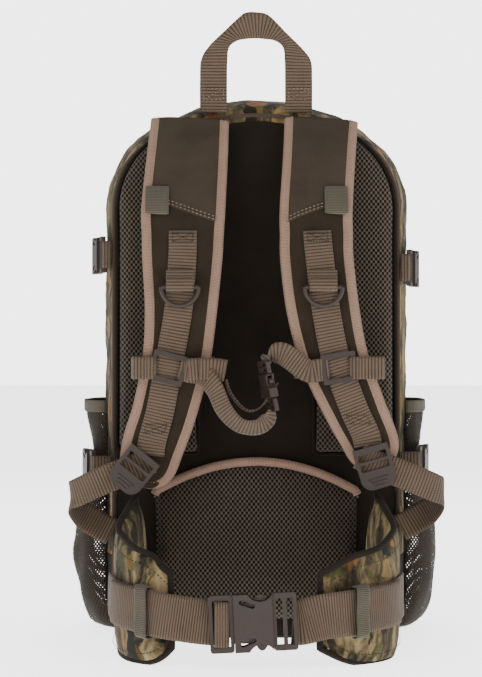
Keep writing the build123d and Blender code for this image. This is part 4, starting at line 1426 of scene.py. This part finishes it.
# --- shoulder straps ------------------------------------------------------------------------
@dataclass
class ShoulderStrap:
    """One padded strap with all that is sewn to it."""

    side: Side
    # drop below the top, distance in front of the back, place, width, place of the webbing
    stations: tuple
    lock_along: tuple
    lock_hinge: tuple
    lock_start: tuple
    ring_bar: tuple
    yoke: tuple
    top_z: float = 472.0
    board_y: float = -101.0
    thickness: float = 12.4
    edge: float = 2.6
    binding: float = 8.2
    webbing: float = 25.0
    tip: float = 30.0
    tab_drops: tuple = (62.0, 86.0)
    tab_width: float = 21.0
    # which way the D-ring's loop hangs, and the way out of the strap's face there
    hang: tuple = (0.0, -0.0885, -0.996)
    outward: tuple = (0.0, -0.996, 0.0885)
    ring_radius: float = 3.1

    @cached_property
    def spine(self) -> np.ndarray:
        """The strap's middle line with its width, webbing place and distance along it."""
        filled, carried = [], [(s[0], s[4]) for s in self.stations if s[4] is not None]
        for drop, off, x, width, _ in self.stations:
            tape = np.interp(drop, *zip(*carried))
            filled.append((x, self.board_y - off, self.top_z - drop, width, tape))
        line = spline(filled, 3.0)
        run = running(line[:, :3])
        tip = run[-1] - self.tip * np.linspace(1, 0, 20) ** 1.4
        fine = np.concatenate([np.arange(0, run[-1] - self.tip, 4.0), tip])
        line = np.stack([np.interp(fine, run, line[:, i]) for i in range(5)], 1)
        left = np.clip((run[-1] - fine) / 26.0, 0, 1)
        line[:, 3] *= np.maximum(1 - (1 - left) ** 2.6, 1e-4) ** 0.42 * 0.94 + 0.06
        return np.column_stack([line, fine])

    def height(self, inward: np.ndarray, half: np.ndarray) -> np.ndarray:
        """Half the pad's thickness at a distance in from its edge."""
        share = 1 - np.clip(inward / np.maximum(half, 1e-3), 0, 1)
        fullness = np.clip(half / 24.0, 0.25, 1)
        return self.edge + (self.thickness / 2 - self.edge) * (1 - share**3.2) * fullness

    def pad(self) -> None:
        """The padded strap itself."""
        line = self.spine
        s = np.linspace(-1, 1, 21)
        half = line[:, 3:4] / 2
        across = s[None] * half
        top = self.height(half - np.abs(across), half)
        section = np.stack([across, top], -1)
        under = np.stack([across, -top], -1)[:, ::-1]
        piece = sweep(
            f"strap_{self.side.word}", line[:, :3], ACROSS,
            np.concatenate([section, under], 1),
        )  # fmt: skip
        name = f"shoulder_strap_{self.side.word}"
        place(piece, "bag", STRAP, [name])

    def rim(self, inward: float) -> tuple[np.ndarray, np.ndarray, np.ndarray]:
        """The strap's edge line: down one side, round the end and up the other.

        Args:
            inward: How far in from the edge the line runs.
        Returns:
            Its points, the way out of the strap's face, and the way outward from the edge.
        """
        line = self.spine
        _, flat, face = lie(line[:, :3], ACROSS)
        rows = both_edges(line, flat, face, np.maximum(line[:, 3:4] / 2 - inward, 0.0))
        along = unit(np.gradient(rows[:, :3], axis=0))
        face = unit(rows[:, 3:])
        return rows[:, :3], face, unit(np.cross(along, face))

    def bind(self) -> None:
        """The folded tape round the strap's edge, and the stitching on it."""
        path, face, outward = self.rim(0.0)
        middle = path[len(path) // 2] - path[0]
        if np.dot(outward[len(path) // 2], middle) < 0:
            outward = -outward
        inward = np.array([self.binding, self.binding - 1.0, 5.0, 2.5, 0.6, -0.6])
        top = self.height(np.maximum(inward, 0), np.array(32.0)) + 0.75
        top[0] -= 0.7
        top[-1] = 1.3
        shell = np.concatenate([np.stack([-inward, top], 1), np.stack([-inward, -top], 1)[::-1]])
        places = path[:, None] + outward[:, None] * shell[:, :1] + face[:, None] * shell[:, 1:]
        count = len(shell)
        run = running(path)
        strip = np.stack(
            [np.broadcast_to(shell[:, 0], places.shape[:2]), np.repeat(run[:, None], count, 1)], -1
        )
        faces = grid_faces(len(path), count, True)
        faces += [list(range(count)), [(len(path) - 1) * count + j for j in range(count)]]
        tape = mesh_object(
            f"strap_binding_{self.side.word}", places.reshape(-1, 3), faces, strip.reshape(-1, 2)
        )
        place(tape, "bag", BINDING)
        rows = path - outward * 6.2
        rise = self.height(np.array(6.2), np.array(32.0)) + 0.85
        sewn = stitches(
            f"binding_stitches_{self.side.word}", rows + face * rise, face, 1.9, 1.1, 0.35
        )
        place(sewn, "bag", THREAD)

    def yoke_panel(self) -> None:
        """The smoother cloth over the top of the strap, down to its slanting seam."""
        line = self.spine
        _, flat, face = lie(line[:, :3], ACROSS)
        s = np.linspace(-1, 1, 17)
        outer_z, inner_z = self.yoke
        share = (s * self.side.value + 1) / 2
        ends = inner_z + (outer_z - inner_z) * share
        rows = []
        z = line[:, 2]
        for t in np.linspace(0, 1, 36):
            row = []
            for k, where in enumerate(s):
                level = line[0, 2] + (ends[k] - line[0, 2]) * t
                base = [np.interp(-level, -z, line[:, i]) for i in range(4)]
                out = np.array([np.interp(-level, -z, face[:, i]) for i in range(3)])
                way = np.array([np.interp(-level, -z, flat[:, i]) for i in range(3)])
                half = base[3] / 2 - 6.0
                inward = base[3] / 2 * (1 - abs(where)) + 6.0
                up = self.height(np.array(inward), np.array(base[3] / 2))
                row.append(np.array(base[:3]) + way * where * half + out * (up + 0.7))
            rows.append(row)
        grid = np.array(rows)
        panel = mesh_object(
            f"yoke_{self.side.word}", grid.reshape(-1, 3), grid_faces(36, 17, False)
        )
        thicken(panel, 1.0)
        place(panel, "bag", YOKE)
        for drop in (1.8, 4.6):
            row = grid[-1] + np.array([0.0, -0.35, drop])
            sewn = stitches(f"yoke_seam_{self.side.word}_{int(drop)}", row, TO_WEARER)
            place(sewn, "bag", THREAD)

    def on_face(self, z: float, x: Optional[float], lift: float) -> np.ndarray:
        """A place over the strap's front at a height.

        Args:
            z: The height.
            x: The sideways place, or None for the webbing's line.
            lift: How far it is from the strap's middle.
        Returns:
            The place.
        """
        line = self.spine
        base = [np.interp(-z, -line[:, 2], line[:, i]) for i in range(5)]
        return np.array([base[4] if x is None else x, base[1] - lift, z])

    def tape(self) -> None:
        """The webbing down the strap's front, from the yoke seam to the ladder lock."""
        face = self.thickness / 2 + 1.5
        start = self.top_z - self.stations[3][0] + 3.0
        end = self.top_z - self.stations[-2][0] - 6.0
        levels = np.linspace(start, end, 26)
        path = np.array([self.on_face(z, None, face) for z in levels])
        path[0, 1] += 1.0
        web = sweep(
            f"strap_tape_{self.side.word}", spline(path, 3.0), ACROSS,
            band_section(self.webbing, 1.6, 0.2),
        )  # fmt: skip
        place(web, "bag", TAPE, [f"strap_webbing_{self.side.word}"])
        for name, z in (("upper", start - 6.0), ("lower", end + 24.0)):
            self.bartack(name, z, face + 1.0)

    def bartack(self, name: str, z: float, lift: float) -> None:
        """A box of stitches across the webbing.

        Args:
            name: The stitches' place on the strap.
            z: Height of the box's middle.
            lift: How far it is from the strap's middle.
        """
        marks = ((-9, -4), (9, -4), (9, 4), (-9, 4), (-9, -4), (9, 4), (9, -4), (-9, 4))
        line = []
        for dx, dz in marks:
            spot = self.on_face(z + dz, None, lift)
            line.append(spot + np.array([dx, -0.2, 0.0]))
        label = f"bartack_{name}_{self.side.word}"
        sewn = stitches(label, even(np.array(line), 1.0), TO_WEARER, 1.8, 0.8, 0.35)
        place(sewn, "bag", DARK_THREAD)

    def tab(self) -> None:
        """The elastic accessory loop near the strap's outer edge."""
        high, low = (self.top_z - drop for drop in self.tab_drops)
        line = self.spine
        width = np.interp(-low, -line[:, 2], line[:, 3])
        x = np.interp(-low, -line[:, 2], line[:, 0]) + self.side.value * (width / 2 - 14.0)
        top, bottom = (self.on_face(z, x, self.thickness / 2 + 1.6) for z in (high, low))
        out = TO_WEARER
        rows = [
            top, top * 0.7 + bottom * 0.3 + out * 1.8, top * 0.3 + bottom * 0.7 + out * 2.6,
            bottom + out * 2.0, bottom + out * 0.6 + (top - bottom) * 0.03,
        ]  # fmt: skip
        piece = sweep(
            f"elastic_tab_{self.side.word}", spline(rows, 2.0), np.array([1.0, 0, -0.06]),
            band_section(self.tab_width, 1.5, 0.4),
        )  # fmt: skip
        names = ["accessory_tabs"] if self.side is Side.LEFT else []
        place(piece, "bag", ELASTIC, names)

    def ring_loop(self) -> None:
        """The folded webbing that holds the D-ring's bar."""
        bar = np.array(self.ring_bar)
        hang, out = np.array(self.hang), np.array(self.outward)
        turn = np.linspace(-0.5, 0.5, 11) * math.pi
        bend = [bar + self.ring_radius * (hang * math.cos(t) + out * math.sin(t)) for t in turn]
        path = [bend[0] - hang * 15.0, bend[0] - hang * 7.0, *bend]
        path += [bend[-1] - hang * 6.0 - out * 0.8, bend[-1] - hang * 15.0 - out * 3.2]
        loop = sweep(
            f"ring_loop_{self.side.word}", spline(path, 1.5), ACROSS,
            band_section(24.5, 1.3),
        )  # fmt: skip
        names = ["d_ring_loops"] if self.side is Side.LEFT else []
        place(loop, "bag", TAPE, names)
        row = bar - hang * 8.0 + out * 3.4
        line = np.array([row + np.array([x, 0, 0]) for x in (-10.5, 10.5)])
        sewn = stitches(f"ring_stitches_{self.side.word}", line, out, 1.6, 0.7, 0.4)
        place(sewn, "bag", DARK_THREAD)

    def lower_tape(self) -> None:
        """The webbing from the ladder lock, out to the bag's edge and folded back to its corner."""
        sign = self.side.value
        x, y, z = self.lock_start
        rows = [
            (x - sign * 13.0, y + 3.0, z + 7.0), (x, y, z),
            (sign * (abs(x) + 26), y, z - 10), (sign * 159, y + 8, z - 22),
            (sign * 167.5, y + 19, z - 28), (sign * 159, -113.5, z - 44),
            (sign * 143, -105.5, z - 56), (sign * 132, -104.0, z - 62),
        ]  # fmt: skip
        path = spline(rows, 2.5)
        path[:, 1] += 0.8 * ripple(path, 40.0, 7)
        web = sweep(
            f"lower_tape_{self.side.word}", path, UP, band_section(self.webbing, 1.6, 0.8)
        )
        place(web, "bag", TAPE, [f"lower_webbing_{self.side.word}"])

    def lock_ridges(self) -> None:
        """Raised grips on the ladder lock's thumb tab."""
        along = unit(np.array(self.lock_along))
        start = np.array(self.lock_hinge)
        across = np.cross([0.0, -1.0, 0.0], along)
        for k in range(3):
            middle = start + along * (27.0 + 3.2 * k) + np.array([0.0, -2.0, 0.0])
            half = 9.0 - 2.2 * k
            line = np.array([middle - across * half, middle, middle + across * half])
            ridge = sweep(
                f"lock_ridge_{self.side.word}_{k}", spline(line, 1.5), along,
                round_section(0.9, 0.8),
            )  # fmt: skip
            place(ridge, f"ladder_lock_{self.side.word}", BUCKLE)

    def build(self) -> None:
        """Builds and dresses the strap and what is on it."""
        self.pad()
        self.bind()
        self.yoke_panel()
        self.tape()
        self.tab()
        self.ring_loop()
        self.lower_tape()
        self.lock_ridges()


# --- sternum strap --------------------------------------------------------------------------
@dataclass
class SternumStrap:
    """The chest strap's webbing; its buckle and adjusters are the frame's own."""

    width: float = 20.0
    z: float = 248.0

    def wrap(self, side: Side) -> None:
        """The webbing from the adjuster round the back of the strap.

        Args:
            side: Which strap.
        """
        sign = side.value
        low, high = corners(f"sternum_adjuster_{side.word}")
        back_low, back_high = corners(f"sternum_wrap_{side.word}")
        y = (low[1] + high[1]) / 2
        outer = high[0] if sign > 0 else low[0]
        edge = (back_high[0] if sign > 0 else back_low[0]) - sign * 1.0
        inner = back_low[0] if sign > 0 else back_high[0]
        rear = back_high[1] - 1.0
        mid = (low + high)[2] / 2
        rows = [
            (outer - sign * 7.5, y + 0.6, mid), (outer - sign * 3.0, y - 2.4, mid),
            (outer + sign * 1.5, y - 0.6, mid), (edge - sign * 3.0, y + 1.0, mid),
            (edge, y + 7.0, mid), (edge, rear - 5.0, self.z), (edge - sign * 3.5, rear, self.z),
            ((edge + inner) / 2, rear, self.z), (inner, rear, self.z),
        ]  # fmt: skip
        piece = sweep(
            f"chest_wrap_{side.word}", spline(rows, 1.6), UP,
            band_section(self.width, 1.5, 0.0),
        )  # fmt: skip
        place(piece, "sternum_strap", TAPE, [f"sternum_wrap_{side.word}"])

    def right_tape(self) -> None:
        """The webbing from the right adjuster to the buckle's socket."""
        low, high = corners("sternum_adjuster_right")
        start = np.array([low[0] + 3.0, (low[1] + high[1]) / 2, (low[2] + high[2]) / 2 - 1.5])
        socket_low, socket_high = corners("sternum_socket")
        bar = np.array([socket_low[0] + 7.0, (socket_low[1] + socket_high[1]) / 2, socket_high[2]])
        rows = [
            (*(start + [5.0, 0.8, 0.6]), 0, 0, 1.0), (*start, 0, 0, 1.0),
            (*(start + [-5.0, -2.4, -0.5]), 0, 0, 1.0), (*(start + [-15.0, -3.0, -0.5]), 0, 0, 1.0),
            (*(bar + [17.0, 1.5, 4.5]), 0.1, -0.15, 1.0),
            (*(bar + [7.0, -0.5, 5.5]), 0.5, -0.5, 0.9),
            (*(bar + [1.5, -1.0, 2.5]), 0.6, -0.9, 0.3),
            (*(bar + [0.8, 0.0, -3.0]), 0.3, -1.0, 0.1),
        ]  # fmt: skip
        path = spline(rows, 1.6)
        piece = sweep(
            "chest_tape_right", path[:, :3], path[:, 3:], band_section(self.width, 1.5, 0.3)
        )
        place(piece, "sternum_strap", TAPE, ["sternum_webbing_right"])

    def left_tape(self) -> None:
        """The drooping webbing from the left adjuster to the plug, and its spare end."""
        low, high = corners("sternum_adjuster_left")
        start = np.array([high[0] - 4.0, (low[1] + high[1]) / 2, (low[2] + high[2]) / 2 - 2.0])
        plug_low, plug_high = corners("sternum_plug")
        end = np.array([(plug_low[0] + plug_high[0]) / 2 + 1.0, (plug_low[1] + plug_high[1]) / 2,
                        plug_low[2]])  # fmt: skip
        rows = [
            (*(start + [-4.0, 1.0, 1.0]), 0, 0, 1.0), (*start, 0, 0, 1.0),
            (*(start + [5.0, -3.2, -1.0]), 0.1, 0, 1.0),
            (*(start + [17.0, -5.0, -4.0]), 0.4, -0.3, 1),
            (*(start + [27.0, -11.0, -16.0]), 0.9, -0.8, 0.5),
            (*(start + [36.0, -14.0, -35.0]), 0.9, -0.9, 0.5),
            (*(start + [49.0, -15.0, -48.0]), 0.4, -1.0, 0.8),
            (*(end + [-13.0, -3.0, -13.0]), -0.5, -0.9, 0.7),
            (*(end + [-3.0, 0.0, -7.0]), -0.8, -0.8, 0.2), (*end, -0.4, -1.0, 0.1),
            (*(end + [0.0, 0.0, 3.0]), -0.3, -1.0, 0.1),
        ]  # fmt: skip
        path = spline(rows, 1.6)
        piece = sweep(
            "chest_tape_left", path[:, :3], path[:, 3:], band_section(self.width, 1.5, 0.4)
        )
        place(piece, "", TAPE, ["sternum_webbing_left"])
        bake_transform(piece)
        top = start + np.array([4.0, -5.2, 0.5])
        spare = [top, top + [12, -1.2, 0.8], top + [25, -1.8, 0.4], top + [33, -1.2, -1.0]]
        spare = spline(spare, 1.6)
        piece = sweep("chest_tape_fold", spare, UP, band_section(19.5, 1.5, 0.5))
        place(piece, "sternum_strap", TAPE)
        hem = spline([top + [10, -3.2, 0.9], top + [22, -3.6, 0.6], top + [32.5, -2.6, -1.0]], 1.6)
        piece = sweep("chest_tape_hem", hem, UP, band_section(19.0, 1.4, 0.4))
        place(piece, "sternum_strap", TAPE)
        thin = spline(
            [top + [33, 0.5, -9], top + [38, -2, -22], top + [50, -3, -35], top + [62, -2, -34],
             top + [72, 0, -22], top + [78, 3, -12]], 1.6,
        )  # fmt: skip
        cord = sweep("chest_loop", thin, np.array([0.2, -1.0, 0.2]), band_section(9.0, 1.3, 0.3))
        place(cord, "sternum_strap", TAPE)

    def build(self) -> None:
        """Builds and dresses the chest strap."""
        for side in Side:
            self.wrap(side)
        self.right_tape()
        self.left_tape()


# --- compression straps ---------------------------------------------------------------------
@dataclass
class CompressionStraps:
    """The webbing of the four side straps; their buckles are the frame's own."""

    heights: dict = field(
        default_factory=lambda: {
            "upper_left": 351.0, "upper_right": 339.0, "lower_left": 154.0, "lower_right": 158.0,
        }
    )  # fmt: skip
    rests: dict = field(default_factory=lambda: {"upper": 145.0, "lower": 154.0})
    width: float = 25.0
    body: float = 24.25
    frame: float = 14.25

    def local(self, level: str, side: Side, along: float) -> np.ndarray:
        """A place on a buckle's middle line, by distance from its mouth."""
        mouth = np.array([side.value * (self.rests[level] + 4), -65.0, 0.0])
        way = unit(np.array([-side.value * 0.24, -0.97, 0.0]))
        mouth[2] = self.heights[f"{level}_{side.word}"]
        return mouth + way * along

    def strap(self, level: str, side: Side) -> None:
        """The rear stub and the forward webbing of one strap.

        Args:
            level: Upper or lower.
            side: Which side of the bag.
        """
        sign, z = side.value, self.heights[f"{level}_{side.word}"]
        name = f"{level}_{side.word}"
        rear = self.local(level, side, self.body + self.frame / 2)
        start = (sign * 132.8, -103.2, z)
        turn = (sign * (abs(rear[0]) - 2.0), -104.2, z)
        rows = [start, (sign * 138.0, -103.8, z), turn, rear + np.array([0, -4.5, 0]), rear]
        stub = sweep(f"stub_{name}", spline(rows, 1.8), UP, band_section(self.width, 1.5, 0.3))
        names = [f"compression_webbing_{side.word}"] if level == "upper" else []
        place(stub, "bag", TAPE, names)
        ahead = self.local(level, side, -self.frame / 2)
        end = np.array([sign * 143.5, 29.0, z])
        rest = self.rests[level]
        bend = np.array([sign * (rest + 3.5), (ahead[1] + end[1]) / 2 + 7.0, z])
        rows = [ahead, ahead + np.array([sign * 0.8, 7.0, 0]), bend, end + [sign * 1.5, -9, 0], end]
        web = sweep(f"forward_{name}", spline(rows, 2.0), UP, band_section(self.width, 1.5, 0.3))
        place(web, "", TAPE)
        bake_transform(web)

    def build(self) -> None:
        """Builds and dresses the four straps."""
        for level in self.rests:
            for side in Side:
                self.strap(level, side)


# --- hip belt -------------------------------------------------------------------------------
@dataclass
class HipWing:
    """One padded hip wing: printed cloth outside, mesh inside and a bound edge."""

    side: Side
    # places of the middle line, each with the wing's height there
    stations: tuple
    thickness: float = 13.0
    seam_inset: float = 8.0

    def line(self) -> np.ndarray:
        """The wing's middle line with its height, down to a rounded tip."""
        rows = spline(self.stations, 3.0)
        run = running(rows[:, :3])
        tip = 30.0
        fine = np.concatenate([np.arange(2, run[-1] - tip, 4.0),
                               run[-1] - tip * np.linspace(1, 0, 16) ** 1.4])  # fmt: skip
        return np.column_stack([*[np.interp(fine, run, rows[:, i]) for i in range(4)], fine])

    def section(self, line: np.ndarray) -> np.ndarray:
        """The wing's section, across and out, at each point of its middle line."""
        s = np.concatenate([np.linspace(-1, 1, 23), np.linspace(1, -1, 23)])
        half = line[:, 3:4] / 2
        left = np.clip((line[-1, 4] - line[:, 4:5]) / 16.0, 0, 1)
        full = np.minimum(1 - np.abs(s) ** 3.4, 1.0)[None] * (left**0.6)
        body = 2.2 + (self.thickness / 2 - 2.4) * full
        out = body * np.where(np.arange(46) < 23, 1, -1)[None]
        return np.stack([s[None] * half, out], -1)

    def build(self) -> None:
        """Builds and dresses the wing, its binding and its seams."""
        line = self.line()
        wing = sweep(f"hip_pad_{self.side.word}", line[:, :3], UP, self.section(line))
        _, flat, face = lie(line[:, :3], UP)
        rows = len(line)
        outer_first = np.sign(np.dot(face[rows // 3], [self.side.value, 0, 0]))
        centres = np.array([p.center for p in wing.data.polygons]) / MM
        nearest = np.argmin(
            np.linalg.norm(centres[:, None, :2] - line[None, :, :2], axis=2), axis=1
        )
        lifted = np.sum((centres - line[nearest, :3]) * face[nearest], axis=1)
        kinds = (lifted * outer_first < 0).astype(np.int32)
        wing.data.polygons.foreach_set("material_index", kinds)
        Puff(limit=3.0, pressure=3.0).fill(wing)
        subdivide(wing)
        body = f"wing_{self.side.word}"
        place(wing, body, [PACK, WING_MESH], [f"hip_wing_{self.side.word}"])
        half = line[:, 3:4] / 2
        rim = both_edges(line, flat, face, half)
        piping = sweep(f"wing_binding_{self.side.word}", rim[:, :3], rim[:, 3:], round_section(2.9))
        place(piping, body, BOOT)
        seam = both_edges(line, flat, face, half - self.seam_inset)
        row = seam[:, :3] + unit(seam[:, 3:]) * outer_first * (self.thickness / 2 + 0.2)
        sewn = stitches(f"wing_seam_{self.side.word}", row, seam[:, 3:] * outer_first)
        place(sewn, body, DARK_THREAD)


@dataclass
class HipBelt:
    """The two wings, the webbing across them, its keepers and the loop on the plug's bar."""

    wings: dict
    width: float = 38.0
    wing_thickness: float = 14.0
    levels: tuple = (52.0, 49.0, 46.0, 43.0)
    bar: tuple = (-261.0, 38.5)
    # how far the webbing, its folded end and the keeper are in front of the wing
    tape_lift: float = 3.4
    fold_lift: float = 6.4
    keeper_lift: float = 9.0
    keeper_width: float = 12.5

    def outside(self, side: Side, index: int, lift: float) -> np.ndarray:
        """A place in front of a wing's outer face at one of its stations."""
        points = np.array([s[:3] for s in self.wings[side]], float)
        last = len(points) - 1
        along = points[min(index + 1, last)] - points[max(index - 1, 0)]
        along = unit(along * [1, 1, 0])
        outward = np.array([along[1], -along[0], 0]) * -side.value
        return points[index] + outward * (self.wing_thickness / 2 + lift)

    def tape(self, side: Side) -> None:
        """The belt webbing of one side with its keeper and folded end.

        Args:
            side: Which side.
        """
        sign, word = side.value, side.word
        places = []
        for i, z in zip((2, 3, 4, 5), self.levels):
            spot = self.outside(side, i, self.tape_lift)
            places.append((spot[0], spot[1], z))
        node = "waist_plug" if side is Side.LEFT else "waist_socket"
        low, high = corners(node)
        bar_x = low[0] + 6.0 if side is Side.LEFT else high[0] - 5.0
        bar = np.array([bar_x, *self.bar])
        rows = [*places, bar + [sign * 8.0, -0.5, 0], bar]
        path = spline(rows, 2.5)
        path[:, 1] -= 0.5 * ripple(path, 30.0, 3)
        web = sweep(f"belt_tape_{word}", path, UP, band_section(self.width, 1.7, 0.5, 13))
        if side is Side.LEFT:
            place(web, "", WIDE_TAPE, ["belt_webbing_left"])
            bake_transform(web)
        else:
            place(web, "wing_right", WIDE_TAPE, ["belt_webbing_right"])
        spare = [self.outside(side, i, self.fold_lift) for i in (2, 3, 4)]
        rows = [(p[0], p[1], z) for p, z in zip(spare, self.levels)]
        middle = spline(rows, 2.5)
        middle = middle[len(middle) // 3 :]
        fold = sweep(f"belt_fold_{word}", middle, UP, band_section(self.width - 1, 1.7, 0.4, 13))
        place(fold, f"wing_{word}", WIDE_TAPE)
        centre = self.outside(side, 4, self.keeper_lift)
        along = unit(np.array(places[3]) - np.array(places[1]))
        over = self.outside(side, 4, 1.6)
        around = ((over, 21.5), (centre, 19.5), (centre, 0.0), (centre, -19.5), (over, -21.5))
        keeper = [(spot[0], spot[1], self.levels[2] + rise) for spot, rise in around]
        section = band_section(self.keeper_width, 1.3)
        loop = sweep(f"keeper_{word}", spline(keeper, 1.5), along, section)
        place(loop, f"wing_{word}", ELASTIC, [f"belt_keeper_{word}"])

    def plug_loop(self) -> None:
        """The webbing round the plug's bar."""
        low, high = corners("belt_loop_left")
        middle = (low + high) / 2
        x, y, half = high[0] - 4.2, middle[1], (high[1] - low[1]) / 2 - 0.9
        turn = np.linspace(-0.5, 0.5, 9) * math.pi
        bend = [(x + half * math.cos(t), y - half * math.sin(t), middle[2]) for t in turn]
        rows = [(low[0] + 1, bend[0][1], middle[2]), *bend, (low[0] + 1, bend[-1][1], middle[2])]
        loop = sweep("plug_loop", spline(rows, 1.2), UP,
                     band_section(37.5, 1.4, 0, 13))  # fmt: skip
        place(loop, "waist_plug", WIDE_TAPE, ["belt_loop_left"])

    def build(self) -> None:
        """Builds and dresses the belt."""
        for side in Side:
            HipWing(side, self.wings[side]).build()
            self.tape(side)
        self.plug_loop()


# --- the frame's own hard pieces ------------------------------------------------------------
@dataclass
class Hardware:
    """Buckles, rings, sliders and the zip, kept from the frame and given their finishes."""

    finishes: dict = field(
        default_factory=lambda: {
            "buckle_plastic": BUCKLE, "ring_plastic": RING, "zip_chain": COIL,
            "zip_metal": ZIP_METAL, "stiffener": SHEET,
        }
    )  # fmt: skip

    def build(self, frame: dict) -> None:
        """Dresses every node that is still shown.
        """
        slots = {}
        for row in frame["record"]["materials"]:
            for node in row.get("nodes", []):
                slots[node] = row["slot"]
        for name, node in frame["nodes"].items():
            if node.hide_render:
                continue
            finish = self.finishes.get(slots.get(name, "buckle_plastic"), BUCKLE)
            if not node.data.materials:
                node.data.materials.append(finish.material())
            for held in node.material_slots:
                held.material = finish.material()
            soft = node.modifiers.new("soft_edges", "BEVEL")
            soft.width = 0.4 * MM
            soft.segments = 2
            soft.limit_method = "ANGLE"
            log.info("%s keeps the frame's shape, in %s", name, finish.name)


# --- studio ---------------------------------------------------------------------------------
@dataclass
class Studio:
    """A pale floor, soft lights and the camera in front of the harness."""

    camera_place: tuple = (-13.8, -1795.0, 274.0)
    view_angle: float = 20.77
    glow: float = 0.62
    backdrop: float = 4.2
    floor_half: float = 9000.0
    floor_z: float = -0.5
    floor_glow: float = 2.6
    lights: tuple = (
        # place, size and power
        ((-900.0, -1500.0, 1500.0), 1.0, 17.0),
        ((1100.0, -1300.0, 900.0), 1.0, 9.0),
        ((0.0, 900.0, 1700.0), 1.2, 20.0),
    )

    def build(self) -> None:
        """Makes the floor, the lights, the world and the camera."""
        scene = bpy.context.scene
        steps = np.linspace(-self.floor_half, self.floor_half, 5)
        points = np.array([(x, y, self.floor_z) for y in steps for x in steps])
        floor = mesh_object("floor", points, grid_faces(5, 5, False))
        graph = Graph("pale_floor")
        cloud = graph.noise(graph.place.outputs["Object"], 3.0)
        tone = graph.ramp(cloud, [(0.3, (0.9, 0.9, 0.9)), (0.7, (0.93, 0.93, 0.93))])
        floor.data.materials.append(graph.finish(tone, 0.8, cloud, 0.0001))
        graph.shader.inputs["Emission Color"].default_value = (1.0, 1.0, 1.0, 1.0)
        graph.shader.inputs["Emission Strength"].default_value = self.floor_glow
        world = bpy.data.worlds.new("studio")
        world.use_nodes = True
        nodes, links = world.node_tree.nodes, world.node_tree.links
        backdrop, glow = nodes["Background"], nodes.new("ShaderNodeBackground")
        glow.inputs[1].default_value = self.glow
        backdrop.inputs[1].default_value = self.backdrop
        for shade in (backdrop, glow):
            shade.inputs[0].default_value = (1.0, 1.0, 1.0, 1.0)
        seen, either = nodes.new("ShaderNodeLightPath"), nodes.new("ShaderNodeMixShader")
        links.new(seen.outputs["Is Camera Ray"], either.inputs[0])
        links.new(glow.outputs[0], either.inputs[1])
        links.new(backdrop.outputs[0], either.inputs[2])
        links.new(either.outputs[0], nodes["World Output"].inputs[0])
        scene.world = world
        aim = np.array([0.0, 0.0, 260.0])
        for number, (where, wide, power) in enumerate(self.lights):
            lamp = bpy.data.lights.new(f"softbox_{number}", "AREA")
            lamp.energy = power
            lamp.size = wide
            holder = bpy.data.objects.new(f"softbox_{number}", lamp)
            holder.location = np.array(where) * MM
            way = Vector(((aim - np.array(where)) * MM).tolist())
            holder.rotation_mode = "QUATERNION"
            holder.rotation_quaternion = way.to_track_quat("-Z", "Y")
            scene.collection.objects.link(holder)
        camera = bpy.data.cameras.new("camera")
        camera.sensor_fit = "VERTICAL"
        camera.angle_y = math.radians(self.view_angle)
        camera.clip_end = 60.0
        holder = bpy.data.objects.new("camera", camera)
        holder.location = np.array(self.camera_place) * MM
        holder.rotation_euler = (math.pi / 2, 0.0, 0.0)
        scene.collection.objects.link(holder)
        scene.camera = holder


STRAPS = {
    Side.LEFT: (
        (0, 7.2, -60.4, 70, None), (36, 25, -62.4, 72, None), (83, 40, -65.5, 74, None),
        (105, 44, -65.8, 72, -65.6), (128, 48, -66.1, 70, -65.9), (173, 52, -67.2, 63, -69.3),
        (217, 52, -71.3, 59, -77.0), (262, 48, -81.7, 56, -85.5), (296, 43, -93.0, 54, -94.0),
        (331, 39, -101.0, 46, None),
    ),
    Side.RIGHT: (
        (0, 7.2, 59.5, 66, None), (36, 25, 56.7, 64, None), (83, 40, 53.4, 64, None),
        (105, 44, 53.5, 64, 54.1), (128, 48, 53.8, 64, 56.2), (173, 52, 59.2, 63, 61.5),
        (217, 52, 69.5, 59, 70.5), (262, 48, 88.5, 53, 87.0), (288, 43, 101.0, 49, 98.5),
        (314, 40, 110.0, 44, None),
    ),
}  # fmt: skip
WINGS = {
    Side.LEFT: (
        (-104, -108.5, 88, 96), (-112, -148, 72, 104), (-118, -188, 56, 104),
        (-108, -222, 49, 96), (-88, -243, 46, 88), (-72, -250, 46, 62),
    ),
    Side.RIGHT: (
        (104, -108.5, 88, 96), (112, -148, 72, 104), (117, -188, 56, 104),
        (106, -221, 48, 96), (80, -243, 46, 88), (52, -252, 46, 62),
    ),
}  # fmt: skip


def main() -> None:
    """Loads the frame and builds every sub-assembly round it."""
    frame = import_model()
    Studio().build()
    bag = Bag()
    bag.build()
    FrontPockets().build()
    BackPads(bag).build()
    HaulLoop().build()
    for side in Side:
        NetPocket(side).build()
    straps = {
        Side.LEFT: ShoulderStrap(
            Side.LEFT, STRAPS[Side.LEFT], (-0.629, 0, -0.777), (-99.0, -156.1, 169.8),
            (-107.8, -152.4, 158.9), (-67.8, -164.1, 319.3), (396.0, 377.0),
        ),
        Side.RIGHT: ShoulderStrap(
            Side.RIGHT, STRAPS[Side.RIGHT], (0.276, 0, -0.961), (100.7, -156.1, 176.3),
            (104.6, -152.4, 162.8), (59.1, -164.1, 319.3), (396.0, 377.0),
        ),
    }  # fmt: skip
    for strap in straps.values():
        strap.build()
    SternumStrap().build()
    CompressionStraps().build()
    HipBelt(WINGS).build()
    Hardware().build(frame)


if __name__ == "__main__":
    logging.basicConfig(level=logging.INFO, format="%(relativeCreated)6d %(message)s")
    main()
